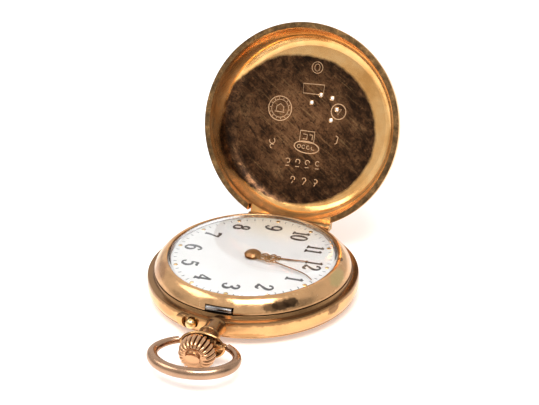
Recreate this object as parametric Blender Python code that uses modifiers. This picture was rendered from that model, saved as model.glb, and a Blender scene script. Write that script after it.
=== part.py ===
"""Hunter pocket watch, lying on its back with the front lid open.

Frame: +Z is up, the back cover's flat centre rests at z = 0 on the watch's centre line.
12 o'clock is +X, the crown (3 o'clock) is -Y and the hinges (9 o'clock) are +Y.
The numbers below are millimetres; MM turns them into metres where geometry is made.
"""
import math

import bmesh
import bpy
from mathutils import Matrix, Vector

MM = 0.001
WELD = 1e-8
COARSE_TEETH = 14

# Driving dimensions of the case
CASE_RADIUS = 17.0
CASE_STEPS = 30
BACK_JOINT_Z = 1.46
LEDGE_Z = 4.2
NECK_RADIUS = 15.2
NECK_TOP = 5.45
BEZEL_OUTER = 15.8
BEZEL_BOTTOM = 4.95
BEZEL_RIDGE = 13.77
BEZEL_TOP = 7.2
MOVEMENT_BORE = 13.45
SEAM = 0.04

# Dial, hands and motion work
DIAL_RADIUS = 14.0
DIAL_TOP = 6.5
DIAL_BOTTOM = 5.9
HOUR_HAND_Z = (6.68, 6.80)
MINUTE_HAND_Z = (6.98, 7.08)
HOUR_HAND_ANGLE = 4.0
MINUTE_HAND_ANGLE = -20.0
MOTION_DISTANCE = 2.5
MOTION_Z = 5.05

# Movement levels, from the bridges' backs up to the dial side of the main plate
RATCHET_Z = (0.85, 1.22)
BRIDGE_Z = (1.28, 2.30)
PLATE_Z = (4.10, 5.84)
RECESS_FLOOR = 4.97
PIVOT_TIP_Z = 4.7
PIVOT_RADIUS = 0.13
PIVOT_HOLE = 0.19

# Tooth counts and modules of the going train
BARREL_TEETH = 48
CENTRE_PINION = 6
CENTRE_TEETH = 48
THIRD_PINION = 6
THIRD_TEETH = 45
FOURTH_PINION = 6
FOURTH_TEETH = 48
ESCAPE_PINION = 6
ESCAPE_TEETH = 15
BARREL_MODULE = 0.2067
CENTRE_MODULE = 0.1533
THIRD_MODULE = 0.1333
FOURTH_MODULE = 0.11
RATCHET_TEETH = 28
CROWN_WHEEL_TEETH = 30
WINDING_TEETH = 15
WINDING_MODULE = 0.22


def mesh_distance(module, teeth_a, teeth_b):
    """Distance between the axes of two meshed wheels."""
    return module * (teeth_a + teeth_b) / 2


def step_from(point, distance, degrees):
    """The point at a distance and direction from another, in plan."""
    angle = math.radians(degrees)
    return (point[0] + distance * math.cos(angle), point[1] + distance * math.sin(angle))


# Plan positions of the axes
CENTRE = (0.0, 0.0)
BARREL = step_from(CENTRE, mesh_distance(BARREL_MODULE, BARREL_TEETH, CENTRE_PINION), -36.5)
THIRD = step_from(CENTRE, mesh_distance(CENTRE_MODULE, CENTRE_TEETH, THIRD_PINION), 95.0)
FOURTH = step_from(THIRD, mesh_distance(THIRD_MODULE, THIRD_TEETH, FOURTH_PINION), 169.0)
ESCAPE = step_from(FOURTH, mesh_distance(FOURTH_MODULE, FOURTH_TEETH, ESCAPE_PINION), 209.0)
BALANCE = step_from(ESCAPE, 2.55, 260.0)
WINDING_DISTANCE = mesh_distance(WINDING_MODULE, CROWN_WHEEL_TEETH, RATCHET_TEETH)
CROWN_WHEEL = (0.0, BARREL[1] - math.sqrt(WINDING_DISTANCE ** 2 - BARREL[0] ** 2))
MINUTE_WHEEL = (0.0, -MOTION_DISTANCE)
SETTING_WHEEL = (0.0, -6.58)
YOKE_PIVOT = (-7.2, -9.2)

# Hinges, pendant and set pin
LID_HINGE = (16.2, 5.0)
LID_HINGE_HALF = 7.2
LID_KNUCKLE = 0.6
LID_OPEN = 112.6
LID_HINGE_TURN = -2.1
BACK_HINGE = (16.75, 1.5)
BACK_HINGE_HALF = 3.4
BACK_KNUCKLE = 0.5
CUVETTE_HINGE = (15.42, 1.75)
CUVETTE_HINGE_HALF = 2.4
CUVETTE_KNUCKLE = 0.32
LID_MIDDLE = 2.2
LID_PIN = 0.26
BACK_MIDDLE = 1.2
BACK_PIN = 0.2
CUVETTE_MIDDLE = 0.8
CUVETTE_PIN = 0.12
PIN_PLAY = 0.04
STEM_Z = 3.2
STEM_RADIUS = 0.46
SLEEVE_RADIUS = 0.74
SLEEVE_BORE = 0.8
SLIDER_BORE = 0.52
NECK_TUBE = 1.6
PENDANT_END = 23.0
DISH_RADIUS = 3.15
DISH_HALF_WIDTH = 3.75
DISH_HALF_HEIGHT = 2.25
CROWN_END = 27.3
CROWN_FLUTES = 22
SET_PIN_BORE = 0.46
SET_PIN_ANGLE = -103.8
GUARD_ANGLE = -108.3
SET_PIN_BALL = 17.5
SET_PIN_CUP = 0.96
SET_PIN_CUP_FLOOR = 16.1
SET_PIN_Z = 3.0
BOW_HALF_WIDTH = 6.58
BOW_HALF_DEPTH = 4.87
BOW_CENTRE_Y = -26.24
BOW_PIVOT = (4.0, -22.37)
BOW_WIRE = 0.92
BOW_END_WIRE = 0.58
BOW_PIN = 0.3
BOW_POINTS = 29
BALANCE_RADIUS = 4.1
GUARD_STRETCH = 1.6
STONE_RADIUS = 0.32
STONE_SPREAD = 2.33
STONE_START = -163.4
STONE_STEP = 52.5
STONE_CENTRE = (1.85, -2.98)

# Finish: base colour, metallic, roughness
FINISHES = {
    "rose_gold": ((0.83, 0.53, 0.30, 1.0), 1.0, 0.16),
    "gold": ((0.86, 0.62, 0.28, 1.0), 1.0, 0.2),
    "steel": ((0.60, 0.60, 0.61, 1.0), 1.0, 0.22),
    "blued_steel": ((0.12, 0.16, 0.32, 1.0), 1.0, 0.25),
    "gilt_brass": ((0.80, 0.62, 0.34, 1.0), 1.0, 0.32),
    "enamel": ((0.93, 0.92, 0.90, 1.0), 0.0, 0.08),
    "crystal": ((0.97, 0.98, 0.98, 0.2), 0.0, 0.03),
    "stone": ((0.95, 0.95, 0.96, 1.0), 0.0, 0.05),
}


def make_collection(name):
    collection = bpy.data.collections.new(name)
    bpy.context.scene.collection.children.link(collection)
    return collection


def make_material(name, finish):
    colour, metallic, roughness = FINISHES[finish]
    material = bpy.data.materials.new(name)
    material.use_nodes = True
    shader = material.node_tree.nodes["Principled BSDF"]
    shader.inputs["Base Color"].default_value = colour
    shader.inputs["Metallic"].default_value = metallic
    shader.inputs["Roughness"].default_value = roughness
    shader.inputs["Alpha"].default_value = colour[3]
    return material


def add_object(data, place=(0.0, 0.0, 0.0)):
    """A new loose object, kept with the cutters until node() names it."""
    thing = bpy.data.objects.new("shape", data)
    thing.location = Vector(place) * MM
    cutters.objects.link(thing)
    return thing


def bake(thing):
    """Replaces an object by the welded mesh of its evaluated shape."""
    bpy.context.view_layer.update()
    evaluated = thing.evaluated_get(bpy.context.evaluated_depsgraph_get())
    mesh = bpy.data.meshes.new_from_object(evaluated)
    shape = bmesh.new()
    shape.from_mesh(mesh)
    bmesh.ops.remove_doubles(shape, verts=shape.verts, dist=WELD)
    bmesh.ops.recalc_face_normals(shape, faces=shape.faces)
    shape.to_mesh(mesh)
    shape.free()
    baked = add_object(mesh)
    baked.matrix_world = thing.matrix_world.copy()
    bpy.data.objects.remove(thing, do_unlink=True)
    return baked


def lathe(profile, steps=24, place=(0.0, 0.0, 0.0), closed=True):
    """Turns (radius, height) points, given down the outer side, about the vertical axis."""
    mesh = bpy.data.meshes.new("profile")
    points = [(radius * MM, 0.0, height * MM) for radius, height in profile]
    edges = [(i, i + 1) for i in range(len(points) - 1)]
    if closed:
        edges.append((len(points) - 1, 0))
    mesh.from_pydata(points, edges, [])
    thing = add_object(mesh, place)
    turn = thing.modifiers.new("turn", "SCREW")
    turn.steps = steps
    turn.render_steps = steps
    turn.use_merge_vertices = True
    turn.merge_threshold = WELD
    return bake(thing)


def outward(thing):
    """Lays a turned piece along -Y, so that its heights count outward along the stem."""
    thing.rotation_euler = (math.pi / 2, 0.0, 0.0)
    thing.location = (0.0, 0.0, STEM_Z * MM)
    return thing


def plate(outlines, z_low, z_high, place=(0.0, 0.0)):
    """A flat piece from closed plan outlines; outlines inside the first are holes."""
    curve = bpy.data.curves.new("outline", "CURVE")
    curve.dimensions = "2D"
    curve.fill_mode = "BOTH"
    curve.extrude = (z_high - z_low) / 2 * MM
    for outline in outlines:
        spline = curve.splines.new("POLY")
        spline.points.add(len(outline) - 1)
        for point, (x, y) in zip(spline.points, outline):
            point.co = (x * MM, y * MM, 0.0, 1.0)
        spline.use_cyclic_u = True
    thing = add_object(curve, (place[0], place[1], (z_low + z_high) / 2))
    return bake(thing)


def rod(start, end, radius, sides=12):
    """A cylinder between two points."""
    shape = bmesh.new()
    length = (Vector(end) - Vector(start)).length
    bmesh.ops.create_cone(shape, cap_ends=True, segments=sides, radius1=radius * MM,
                          radius2=radius * MM, depth=length * MM)
    mesh = bpy.data.meshes.new("rod")
    shape.to_mesh(mesh)
    shape.free()
    thing = add_object(mesh, (Vector(start) + Vector(end)) / 2)
    thing.rotation_mode = "QUATERNION"
    thing.rotation_quaternion = (Vector(end) - Vector(start)).to_track_quat("Z", "Y")
    return thing


def block(low, high):
    """A box between two corners."""
    shape = bmesh.new()
    bmesh.ops.create_cube(shape, size=1.0)
    sizes = [(b - a) * MM for a, b in zip(low, high)]
    bmesh.ops.scale(shape, vec=sizes, verts=shape.verts)
    mesh = bpy.data.meshes.new("block")
    shape.to_mesh(mesh)
    shape.free()
    return add_object(mesh, (Vector(low) + Vector(high)) / 2)


def wire(points, radius, radii=None, resolution=2):
    """A round wire along points, with filled ends."""
    curve = bpy.data.curves.new("wire", "CURVE")
    curve.dimensions = "3D"
    curve.bevel_depth = radius * MM
    curve.bevel_resolution = resolution
    curve.use_fill_caps = True
    spline = curve.splines.new("POLY")
    spline.points.add(len(points) - 1)
    for i, (x, y, z) in enumerate(points):
        spline.points[i].co = (x * MM, y * MM, z * MM, 1.0)
        spline.points[i].radius = radii[i] if radii else 1.0
    return bake(add_object(curve))


def cut(*things):
    return [(thing, "DIFFERENCE") for thing in things]


def join(*things):
    return [(thing, "UNION") for thing in things]


def node(name, finish, base, changes=()):
    """Names a piece, cuts and joins it in the order given, and gives it its material."""
    for thing, operation in changes:
        change = base.modifiers.new(operation.lower(), "BOOLEAN")
        change.operation = operation
        change.object = thing
        thing.name = name + "_cutter"
        thing.hide_render = True
        thing.display_type = "WIRE"
    cutters.objects.unlink(base)
    parts.objects.link(base)
    base.name = name
    base.data.name = name
    base.data.materials.append(make_material(name, finish))
    base.data.shade_smooth()
    base.data.set_sharp_from_angle(angle=math.radians(35.0))
    return base


def swivel(*things):
    """Turns pieces of the lid's hinge about the watch's axis to where that hinge lies."""
    bpy.context.view_layer.update()
    for thing in things:
        thing.matrix_world = Matrix.Rotation(math.radians(LID_HINGE_TURN), 4, "Z") @ thing.matrix_world
    return things


def hang(name, pivot, pieces, turn=0.0, heading=0.0):
    """Parents pieces, with their cutters, to an empty on their joint's axis and turns it about that."""
    joint = bpy.data.objects.new(name, None)
    joint.location = Vector(pivot) * MM
    joint.rotation_euler.z = math.radians(heading)
    cutters.objects.link(joint)
    bpy.context.view_layer.update()
    members = set(pieces)
    for piece in pieces:
        members.update(change.object for change in piece.modifiers if change.type == "BOOLEAN")
    for member in members:
        member.parent = joint
        member.matrix_parent_inverse = joint.matrix_world.inverted()
    joint.rotation_euler.x = math.radians(turn)


# Plan outlines

def circle(radius, count=20, centre=(0.0, 0.0)):
    return [step_from(centre, radius, 360.0 * i / count) for i in range(count)]


def gear(teeth, pitch_radius, toward=0.0, gap=False):
    """A toothed outline; a tooth, or a gap, faces the direction given in degrees."""
    module = 2 * pitch_radius / teeth
    step = 360.0 / teeth
    start = toward + (step / 2 if gap else 0.0)
    tip = pitch_radius + 0.9 * module
    root = pitch_radius - 1.2 * module
    corners = ((root, -0.27), (tip, -0.11), (tip, 0.11), (root, 0.27))
    if teeth > COARSE_TEETH:
        corners = ((tip, 0.0), (root, 0.5))
    outline = []
    for i in range(teeth):
        for radius, share in corners:
            outline.append(step_from(CENTRE, radius, start + (i + share) * step))
    return outline


def saw_gear(teeth, tip, root):
    """A ratchet outline, with one steep flank to each tooth."""
    step = 360.0 / teeth
    outline = []
    for i in range(teeth):
        outline.append(step_from(CENTRE, root, i * step))
        outline.append(step_from(CENTRE, tip, (i + 0.75) * step))
        outline.append(step_from(CENTRE, tip, (i + 0.95) * step))
    return outline


def crossings(inner, outer, arms, arm_width, count=3):
    """The openings between a wheel's arms."""
    openings = []
    for k in range(arms):
        opening = []
        for radius, backward in ((outer, False), (inner, True)):
            half = 180.0 / arms - math.degrees(arm_width / 2 / radius)
            angles = [k * 360.0 / arms - half + 2 * half * i / (count - 1) for i in range(count)]
            opening += [step_from(CENTRE, radius, a) for a in (angles[::-1] if backward else angles)]
        openings.append(opening)
    return openings


def hull(circles, count=16):
    """The outline of a band stretched around circles given as (x, y, radius)."""
    points = sorted(p for x, y, r in circles for p in circle(r, count, (x, y)))
    outline = []
    for sweep in (points, points[::-1]):
        side = []
        for p in sweep:
            while len(side) > 1 and ((side[-1][0] - side[-2][0]) * (p[1] - side[-2][1])
                                     <= (side[-1][1] - side[-2][1]) * (p[0] - side[-2][0])):
                side.pop()
            side.append(p)
        outline += side[:-1]
    return outline


def spiral(inner, outer, turns, thickness, per_turn=14):
    """The outline of a flat coiled strip."""
    count = int(turns * per_turn)
    edges = ([], [])
    for i in range(count + 1):
        radius = inner + (outer - inner) * i / count
        for edge, offset in zip(edges, (-thickness / 2, thickness / 2)):
            edge.append(step_from(CENTRE, radius + offset, 360.0 * i / per_turn))
    return edges[0] + edges[1][::-1]


def taper(stations, degrees):
    """A hand's outline from (distance along, half width) pairs, turned to an angle."""
    outline = [(along, half) for along, half in stations]
    outline += [(along, -half) for along, half in reversed(stations)]
    turn = math.radians(degrees)
    cosine, sine = math.cos(turn), math.sin(turn)
    return [(x * cosine - y * sine, x * sine + y * cosine) for x, y in outline]


def direction(start, end):
    return math.degrees(math.atan2(end[1] - start[1], end[0] - start[0]))


def barrels(pivot, radius, spans, sides=12):
    """Hinge barrels along X at (y, z), one to each span of x."""
    y, z = pivot
    return [rod((x0, y, z), (x1, y, z), radius, sides) for x0, x1 in spans]


# The case

def band_point(radius, degrees):
    """A point at the set pin's height, at a radius and direction from the watch's centre."""
    return (*step_from(CENTRE, radius, degrees), SET_PIN_Z)


def set_pin_point(radius):
    return band_point(radius, SET_PIN_ANGLE)


def band_keep_out():
    """A solid a seam's width outside the band, to shape what is set against it."""
    edge = CASE_RADIUS + 0.06
    profile = [(0, 8.0), (edge, 8.0), (edge, 2.5), (CASE_RADIUS - 0.09, 1.9),
               (CASE_RADIUS - 0.34, 1.3), (0, 1.3)]
    return lathe(profile, CASE_STEPS, closed=False)


def make_case_middle():
    profile = [
        (CASE_RADIUS - 0.2, LEDGE_Z), (CASE_RADIUS - 0.08, 4.0), (CASE_RADIUS, 3.5),
        (CASE_RADIUS, 2.6), (CASE_RADIUS - 0.15, 1.9), (CASE_RADIUS - 0.4, BACK_JOINT_Z),
        (15.75, BACK_JOINT_Z), (15.6, 1.7), (15.6, 3.9), (15.3, 4.25), (MOVEMENT_BORE, 4.6),
        (MOVEMENT_BORE, NECK_TOP), (NECK_RADIUS, NECK_TOP), (NECK_RADIUS, 4.85), (15.85, 4.75),
        (16.0, LEDGE_Z),
    ]
    y, z = LID_HINGE
    back_y, back_z = BACK_HINGE
    inner_y, inner_z = CUVETTE_HINGE
    rooms = [
        block((-BACK_HINGE_HALF - 0.1, back_y - 0.62, 0.5),
              (BACK_HINGE_HALF + 0.1, back_y + 1.0, back_z + 0.62)),
        block((-CUVETTE_HINGE_HALF - 0.15, inner_y - 1.0, 1.2),
              (CUVETTE_HINGE_HALF + 0.15, inner_y + 0.38, inner_z + 0.42)),
    ]
    lid_lug = block((0.1 - LID_MIDDLE, y - 0.45, 3.9), (LID_MIDDLE - 0.1, y + 0.4, z))
    lugs = [
        block((0.1 - BACK_MIDDLE, back_y - 0.9, back_z), (BACK_MIDDLE - 0.1, back_y + 0.3, back_z + 0.95)),
        block((0.1 - CUVETTE_MIDDLE, inner_y - 0.1, inner_z),
              (CUVETTE_MIDDLE - 0.1, inner_y + 0.5, inner_z + 0.7)),
    ]
    lugs += swivel(lid_lug, *barrels(LID_HINGE, LID_KNUCKLE, [(-LID_MIDDLE, LID_MIDDLE)]))
    lugs += barrels(BACK_HINGE, BACK_KNUCKLE, [(-BACK_MIDDLE, BACK_MIDDLE)])
    lugs += barrels(CUVETTE_HINGE, CUVETTE_KNUCKLE, [(-CUVETTE_MIDDLE, CUVETTE_MIDDLE)])
    holes = [*swivel(*barrels(LID_HINGE, LID_PIN + PIN_PLAY, [(-9, 9)], 12))]
    holes += barrels(BACK_HINGE, BACK_PIN + PIN_PLAY, [(-5, 5)], 12)
    holes += barrels(CUVETTE_HINGE, CUVETTE_PIN + PIN_PLAY, [(-3, 3)], 12)
    holes += [
        rod((0, -19, STEM_Z), (0, -14, STEM_Z), SLEEVE_BORE),
        rod(set_pin_point(18.5), set_pin_point(14.5), SET_PIN_BORE),
        rod(set_pin_point(18.5), set_pin_point(SET_PIN_CUP_FLOOR), SET_PIN_CUP, 20),
        block((-1.1, -15.25, 3.5), (1.1, -13.0, 6.0)),
        block((-2.3, -16.5, 5.05), (2.3, -13.9, 6.0)),
    ]
    node("case_middle", "rose_gold", lathe(profile, CASE_STEPS), cut(*rooms) + join(*lugs) + cut(*holes))


def make_bezel():
    profile = [
        (BEZEL_RIDGE, BEZEL_TOP), (14.1, 7.12), (14.8, 6.62), (15.4, 5.85), (15.75, 5.25),
        (BEZEL_OUTER, BEZEL_BOTTOM), (NECK_RADIUS + 0.06, BEZEL_BOTTOM), (NECK_RADIUS + 0.06, 5.5),
        (DIAL_RADIUS + 0.08, 5.5), (DIAL_RADIUS + 0.08, DIAL_TOP + 0.05), (13.56, DIAL_TOP + 0.1),
        (13.56, 7.1),
    ]
    y = LID_HINGE[0]
    hinge_flat = block((-6, y - LID_KNUCKLE - 0.08, 4), (6, y + 1, 8))
    catch_notch = block((-2.35, -17, 4), (2.35, -13.7, 5.93))
    node("bezel", "rose_gold", lathe(profile, CASE_STEPS), cut(*swivel(hinge_flat), catch_notch))


def make_crystal():
    profile = [
        (0, 8.42), (7, 8.28), (11.8, 7.82), (13.0, 7.45), (13.5, 7.0), (13.5, 6.64), (13.2, 6.64),
        (12.8, 7.05), (11.7, 7.48), (7, 7.93), (0, 8.07),
    ]
    node("crystal", "crystal", lathe(profile, CASE_STEPS, closed=False))


def stone_places():
    """Five stones in a horseshoe, part way from the lid's middle to 12 o'clock and the crown."""
    return [step_from(STONE_CENTRE, STONE_SPREAD, STONE_START + STONE_STEP * i) for i in range(5)]


def make_front_lid():
    """The lid is made shut and then swung open about its hinge, with the stones set in it."""
    rim = LEDGE_Z + 0.03
    outer = [(0, 9.95), (11.5, 9.75), (14.6, 9.1), (15.9, 8.1), (16.6, 6.7), (CASE_RADIUS, 4.9),
             (CASE_RADIUS, rim), (0, rim)]
    inner = [(0, 9.42), (13.0, 9.3), (14.2, 8.85), (15.2, 7.8), (15.85, 6.4), (16.1, 4.9),
             (16.25, 4.1), (0, 4.1)]
    y, z = LID_HINGE
    half = LID_HINGE_HALF
    spans = [(LID_MIDDLE + 0.06, half), (-half, -LID_MIDDLE - 0.06)]
    notch = block((-half - 0.15, y - 1.9, 4.0), (half + 0.15, 18.0, 6.0))
    webs = [block((x0 + 0.1, y - 1.9, z + 0.25), (x1 - 0.1, y + 0.3, z + 1.3)) for x0, x1 in spans]
    catch_pocket = block((-2.4, -16.42, 5.0), (2.4, -15.0, 6.0))
    drills = [rod((sx, sy, 8.5), (sx, sy, 10.5), STONE_RADIUS + 0.03, 8) for sx, sy in stone_places()]
    drills += swivel(*barrels(LID_HINGE, LID_PIN + PIN_PLAY, [(-9, 9)], 12))
    knuckles = barrels(LID_HINGE, LID_KNUCKLE, spans)
    swivel(notch, *webs, *knuckles)
    changes = cut(notch) + join(*webs) + cut(lathe(inner, CASE_STEPS, closed=False), catch_pocket)
    changes += join(*knuckles) + cut(*drills)
    lid = node("front_lid", "rose_gold", lathe(outer, CASE_STEPS, closed=False), changes)
    stones = []
    for i, (sx, sy) in enumerate(stone_places()):
        gem = lathe([(0, 10.05), (STONE_RADIUS * 0.6, 10.0), (STONE_RADIUS, 9.8), (0, 9.5)], 8,
                    (sx, sy, 0), closed=False)
        stones.append(node("lid_stone_%d" % (i + 1), "stone", gem))
    pivot = (*step_from(CENTRE, y, 90.0 + LID_HINGE_TURN), z)
    hang("front_lid_joint", pivot, [lid] + stones, -LID_OPEN, LID_HINGE_TURN)
    node("lid_hinge_pin", "gold", *swivel(rod((-half, y, z), (half, y, z), LID_PIN, 12)))


def make_back_cover():
    top = BACK_JOINT_Z - SEAM
    outer = [(0, top), (CASE_RADIUS - 0.4, top), (16.3, 1.1), (14.6, 0.55), (12.2, 0.18), (9.5, 0),
             (0, 0)]
    inner = [(0, 3), (15.95, 3), (15.95, 1.38), (14.5, 0.94), (12.1, 0.52), (9.4, 0.34), (0, 0.34)]
    y, z = BACK_HINGE
    half = BACK_HINGE_HALF
    spans = [(BACK_MIDDLE + 0.06, half), (-half, -BACK_MIDDLE - 0.06)]
    shell = lathe(outer, CASE_STEPS, closed=False)
    room = block((-BACK_MIDDLE - 0.06, y - 0.75, 0.7), (BACK_MIDDLE + 0.06, y + 1, 3))
    arms = [block((x0 + 0.1, y - 0.85, 1.02), (x1 - 0.1, y, 1.4)) for x0, x1 in spans]
    changes = cut(lathe(inner, CASE_STEPS, closed=False)) + join(*arms)
    changes += join(*barrels(BACK_HINGE, BACK_KNUCKLE, spans))
    changes += cut(room, *barrels(BACK_HINGE, BACK_PIN + PIN_PLAY, [(-5, 5)], 12))
    cover = node("back_cover", "rose_gold", shell, changes)
    hang("back_cover_joint", (0, y, z), [cover])
    node("back_hinge_pin", "gold", rod((-half, y, z), (half, y, z), BACK_PIN, 12))


def make_cuvette():
    outer = [(0, 1.75), (15.38, 1.75), (15.0, 1.25), (12.2, 0.62), (9.5, 0.42), (0, 0.42)]
    inner = [(0, 3), (15.13, 3), (15.13, 1.7), (14.8, 1.44), (12.1, 0.86), (9.4, 0.66), (0, 0.66)]
    y, z = CUVETTE_HINGE
    half = CUVETTE_HINGE_HALF
    spans = [(CUVETTE_MIDDLE + 0.06, half), (-half, -CUVETTE_MIDDLE - 0.06)]
    room = block((-CUVETTE_MIDDLE - 0.06, y - 0.4, 1.2), (CUVETTE_MIDDLE + 0.06, y + 1, 3))
    arms = [block((x0 + 0.1, y - 0.6, 1.45), (x1 - 0.1, y - 0.1, 1.75)) for x0, x1 in spans]
    changes = cut(lathe(inner, CASE_STEPS, closed=False)) + join(*arms)
    changes += join(*barrels(CUVETTE_HINGE, CUVETTE_KNUCKLE, spans))
    changes += cut(room, *barrels(CUVETTE_HINGE, CUVETTE_PIN + PIN_PLAY, [(-3, 3)], 12))
    cover = node("cuvette", "gold", lathe(outer, CASE_STEPS, closed=False), changes)
    hang("cuvette_joint", (0, y, z), [cover])
    node("cuvette_hinge_pin", "gold", rod((-half, y, z), (half, y, z), CUVETTE_PIN, 12))


# Pendant, crown, bow, catch and set pin

def make_pendant():
    """A tube that flares to an oval dish; its heights count outward from the watch's centre."""
    profile = [
        (DISH_RADIUS, PENDANT_END), (DISH_RADIUS, 22.75), (2.6, 22.2), (2.0, 21.6), (1.7, 20.9),
        (NECK_TUBE, 20.45), (1.78, 20.2), (NECK_TUBE, 19.95), (NECK_TUBE, 16.4), (SLEEVE_BORE, 16.4),
        (SLEEVE_BORE, 21.7), (1.4, 21.75), (2.3, 22.2), (2.85, PENDANT_END),
    ]
    tube = lathe(profile, 20)
    for vertex in tube.data.vertices:
        if math.hypot(vertex.co.x, vertex.co.y) < 1.05 * SLEEVE_BORE * MM:
            continue
        flare = max(0.0, min(1.0, (vertex.co.z / MM - 20.9) / (PENDANT_END - 20.9)))
        vertex.co.x *= 1 + flare * (DISH_HALF_WIDTH / DISH_RADIUS - 1)
        vertex.co.y *= 1 + flare * (DISH_HALF_HEIGHT / DISH_RADIUS - 1)
    x, y = BOW_PIVOT
    ears = [rod((side * 2.3, y, STEM_Z), (side * (x - 0.34), y, STEM_Z), 0.62) for side in (-1, 1)]
    sockets = [rod((side * 2.9, y, STEM_Z), (side * (x + 1), y, STEM_Z), BOW_PIN + 0.05, 12)
               for side in (-1, 1)]
    node("pendant", "rose_gold", outward(tube), join(*ears) + cut(band_keep_out(), *sockets))


def make_bow():
    """An oval ring, open towards the case, with a pivot pin turned inward at each end."""
    x_end, y_end = BOW_PIVOT
    start = math.asin(x_end / BOW_HALF_WIDTH)
    points = []
    radii = []
    for i in range(BOW_POINTS):
        angle = start + (2 * math.pi - 2 * start) * i / (BOW_POINTS - 1)
        points.append((BOW_HALF_WIDTH * math.sin(angle), BOW_CENTRE_Y + BOW_HALF_DEPTH * math.cos(angle),
                       STEM_Z))
        fullness = min(1.0, 3.2 * min(i, BOW_POINTS - 1 - i) / BOW_POINTS)
        radii.append((BOW_END_WIRE + (BOW_WIRE - BOW_END_WIRE) * fullness) / BOW_WIRE)
    ring = wire(points, BOW_WIRE, radii)
    pins = [rod((side * 3.15, y_end, STEM_Z), (side * (x_end + 0.1), y_end, STEM_Z), BOW_PIN, 12)
            for side in (-1, 1)]
    bow = node("bow", "rose_gold", ring, join(*pins))
    hang("bow_joint", (0, y_end, STEM_Z), [bow])


def make_crown():
    profile = [
        (0, CROWN_END), (1.35, CROWN_END), (1.35, 27.0), (1.95, 26.9), (2.7, 26.2), (2.95, 25.0),
        (2.6, 24.0), (1.8, 23.35), (0, 23.35),
    ]
    knob = lathe(profile, 2 * CROWN_FLUTES, closed=False)
    for vertex in knob.data.vertices:
        radius = math.hypot(vertex.co.x, vertex.co.y) / MM
        step = round(math.atan2(vertex.co.y, vertex.co.x) * CROWN_FLUTES / math.pi)
        if radius > 2.2 and step % 2:
            vertex.co.x *= 0.93
            vertex.co.y *= 0.93
    socket = rod((0, -23.0, STEM_Z), (0, -26.0, STEM_Z), STEM_RADIUS + 0.03)
    node("crown", "rose_gold", outward(knob), cut(socket))


def make_stem():
    profile = [(0, 25.9), (STEM_RADIUS, 25.9), (STEM_RADIUS, 10.55), (0.3, 10.5), (0.3, 7.95), (0, 7.95)]
    square = block((-0.33, -10.52, STEM_Z - 0.33), (0.33, -8.5, STEM_Z + 0.33))
    node("winding_stem", "steel", outward(lathe(profile, 16, closed=False)), join(square))
    sleeve = [(SLEEVE_RADIUS, 23.25), (SLEEVE_RADIUS, 15.0), (STEM_RADIUS + 0.05, 15.0),
              (STEM_RADIUS + 0.05, 23.25)]
    node("push_sleeve", "steel", outward(lathe(sleeve, 16)))


def make_lid_catch():
    """A nose bar in front of the bezel, on an arm whose fork straddles the stem."""
    nose = block((-2.1, -15.88, 5.15), (2.1, -14.95, 5.85))
    arm = block((-1.0, -14.97, 2.5), (1.0, -14.5, 5.7))
    fork = block((-STEM_RADIUS - 0.05, -15.5, 2.0), (STEM_RADIUS + 0.05, -14.0, 3.9))
    node("lid_catch", "steel", nose, join(arm) + cut(fork))


def make_set_pin():
    """An oval guard on the band, with the button standing in a hollow at one side of it."""
    boss = rod(band_point(16.4, GUARD_ANGLE), band_point(17.62, GUARD_ANGLE), 1.1, 20)
    boss.scale.x = GUARD_STRETCH
    cup = rod(set_pin_point(16.8), set_pin_point(18.4), SET_PIN_CUP, 20)
    bore = rod(set_pin_point(16.0), set_pin_point(18.0), SET_PIN_BORE)
    node("set_pin_guard", "rose_gold", boss, cut(band_keep_out(), cup, bore))
    shape = bmesh.new()
    bmesh.ops.create_uvsphere(shape, u_segments=12, v_segments=8, radius=0.86 * MM)
    mesh = bpy.data.meshes.new("button")
    shape.to_mesh(mesh)
    shape.free()
    button = add_object(mesh, set_pin_point(SET_PIN_BALL))
    shank = rod(set_pin_point(13.62), set_pin_point(SET_PIN_BALL), SET_PIN_BORE - 0.08, 12)
    node("set_pin", "gold", button, join(shank))


def make_case_springs():
    """The lift spring curves inside the band and ends beside the lid's hinge."""
    arc = [step_from(CENTRE, 14.6, 20.0 + 7.0 * i) + (3.1,) for i in range(9)]
    node("lift_spring", "blued_steel", wire(arc, 0.32, [1.0 - 0.06 * i for i in range(9)], 1))
    for i, degrees in enumerate((8.0, 172.0)):
        x, y = step_from(CENTRE, 13.15, degrees)
        head = lathe([(0, 4.06), (0.85, 4.06), (0.85, 3.75), (0, 3.75)], 16, (x, y, 0), closed=False)
        slot = block((x - 1, y - 0.11, 3.6), (x + 1, y + 0.11, 3.88))
        node("case_screw_%d" % (i + 1), "blued_steel", head, cut(slot))


# The movement

def make_dial():
    profile = [(DIAL_RADIUS - 0.1, DIAL_TOP), (DIAL_RADIUS, DIAL_TOP - 0.1), (DIAL_RADIUS, DIAL_BOTTOM),
               (0.9, DIAL_BOTTOM), (0.9, DIAL_TOP)]
    node("dial", "enamel", lathe(profile, CASE_STEPS))


def make_main_plate():
    low, high = PLATE_Z
    radius = MOVEMENT_BORE - 0.06
    profile = [(radius, high), (radius, low), (0.34, low), (0.34, high)]
    recess = plate([hull([(0, 0, 2.6), (0, -6.6, 2.6)])], RECESS_FLOOR, high + 1)
    pockets = [
        block((-2.3, -12.2, low - 1), (2.3, -10.3, 5.4)),
        block((-2.05, -10.4, low - 1), (2.05, -7.6, 5.06)),
        rod((0, -20, STEM_Z), (0, -12, STEM_Z), SLEEVE_BORE),
    ]
    holes = [rod((x, y, low - 1), (x, y, high + 1), PIVOT_HOLE, 12)
             for x, y in (THIRD, FOURTH, ESCAPE, BALANCE)]
    holes.append(rod((*BARREL, low - 1), (*BARREL, high + 1), 0.45, 16))
    node("main_plate", "gilt_brass", lathe(profile, CASE_STEPS), cut(recess, *pockets, *holes))


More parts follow.
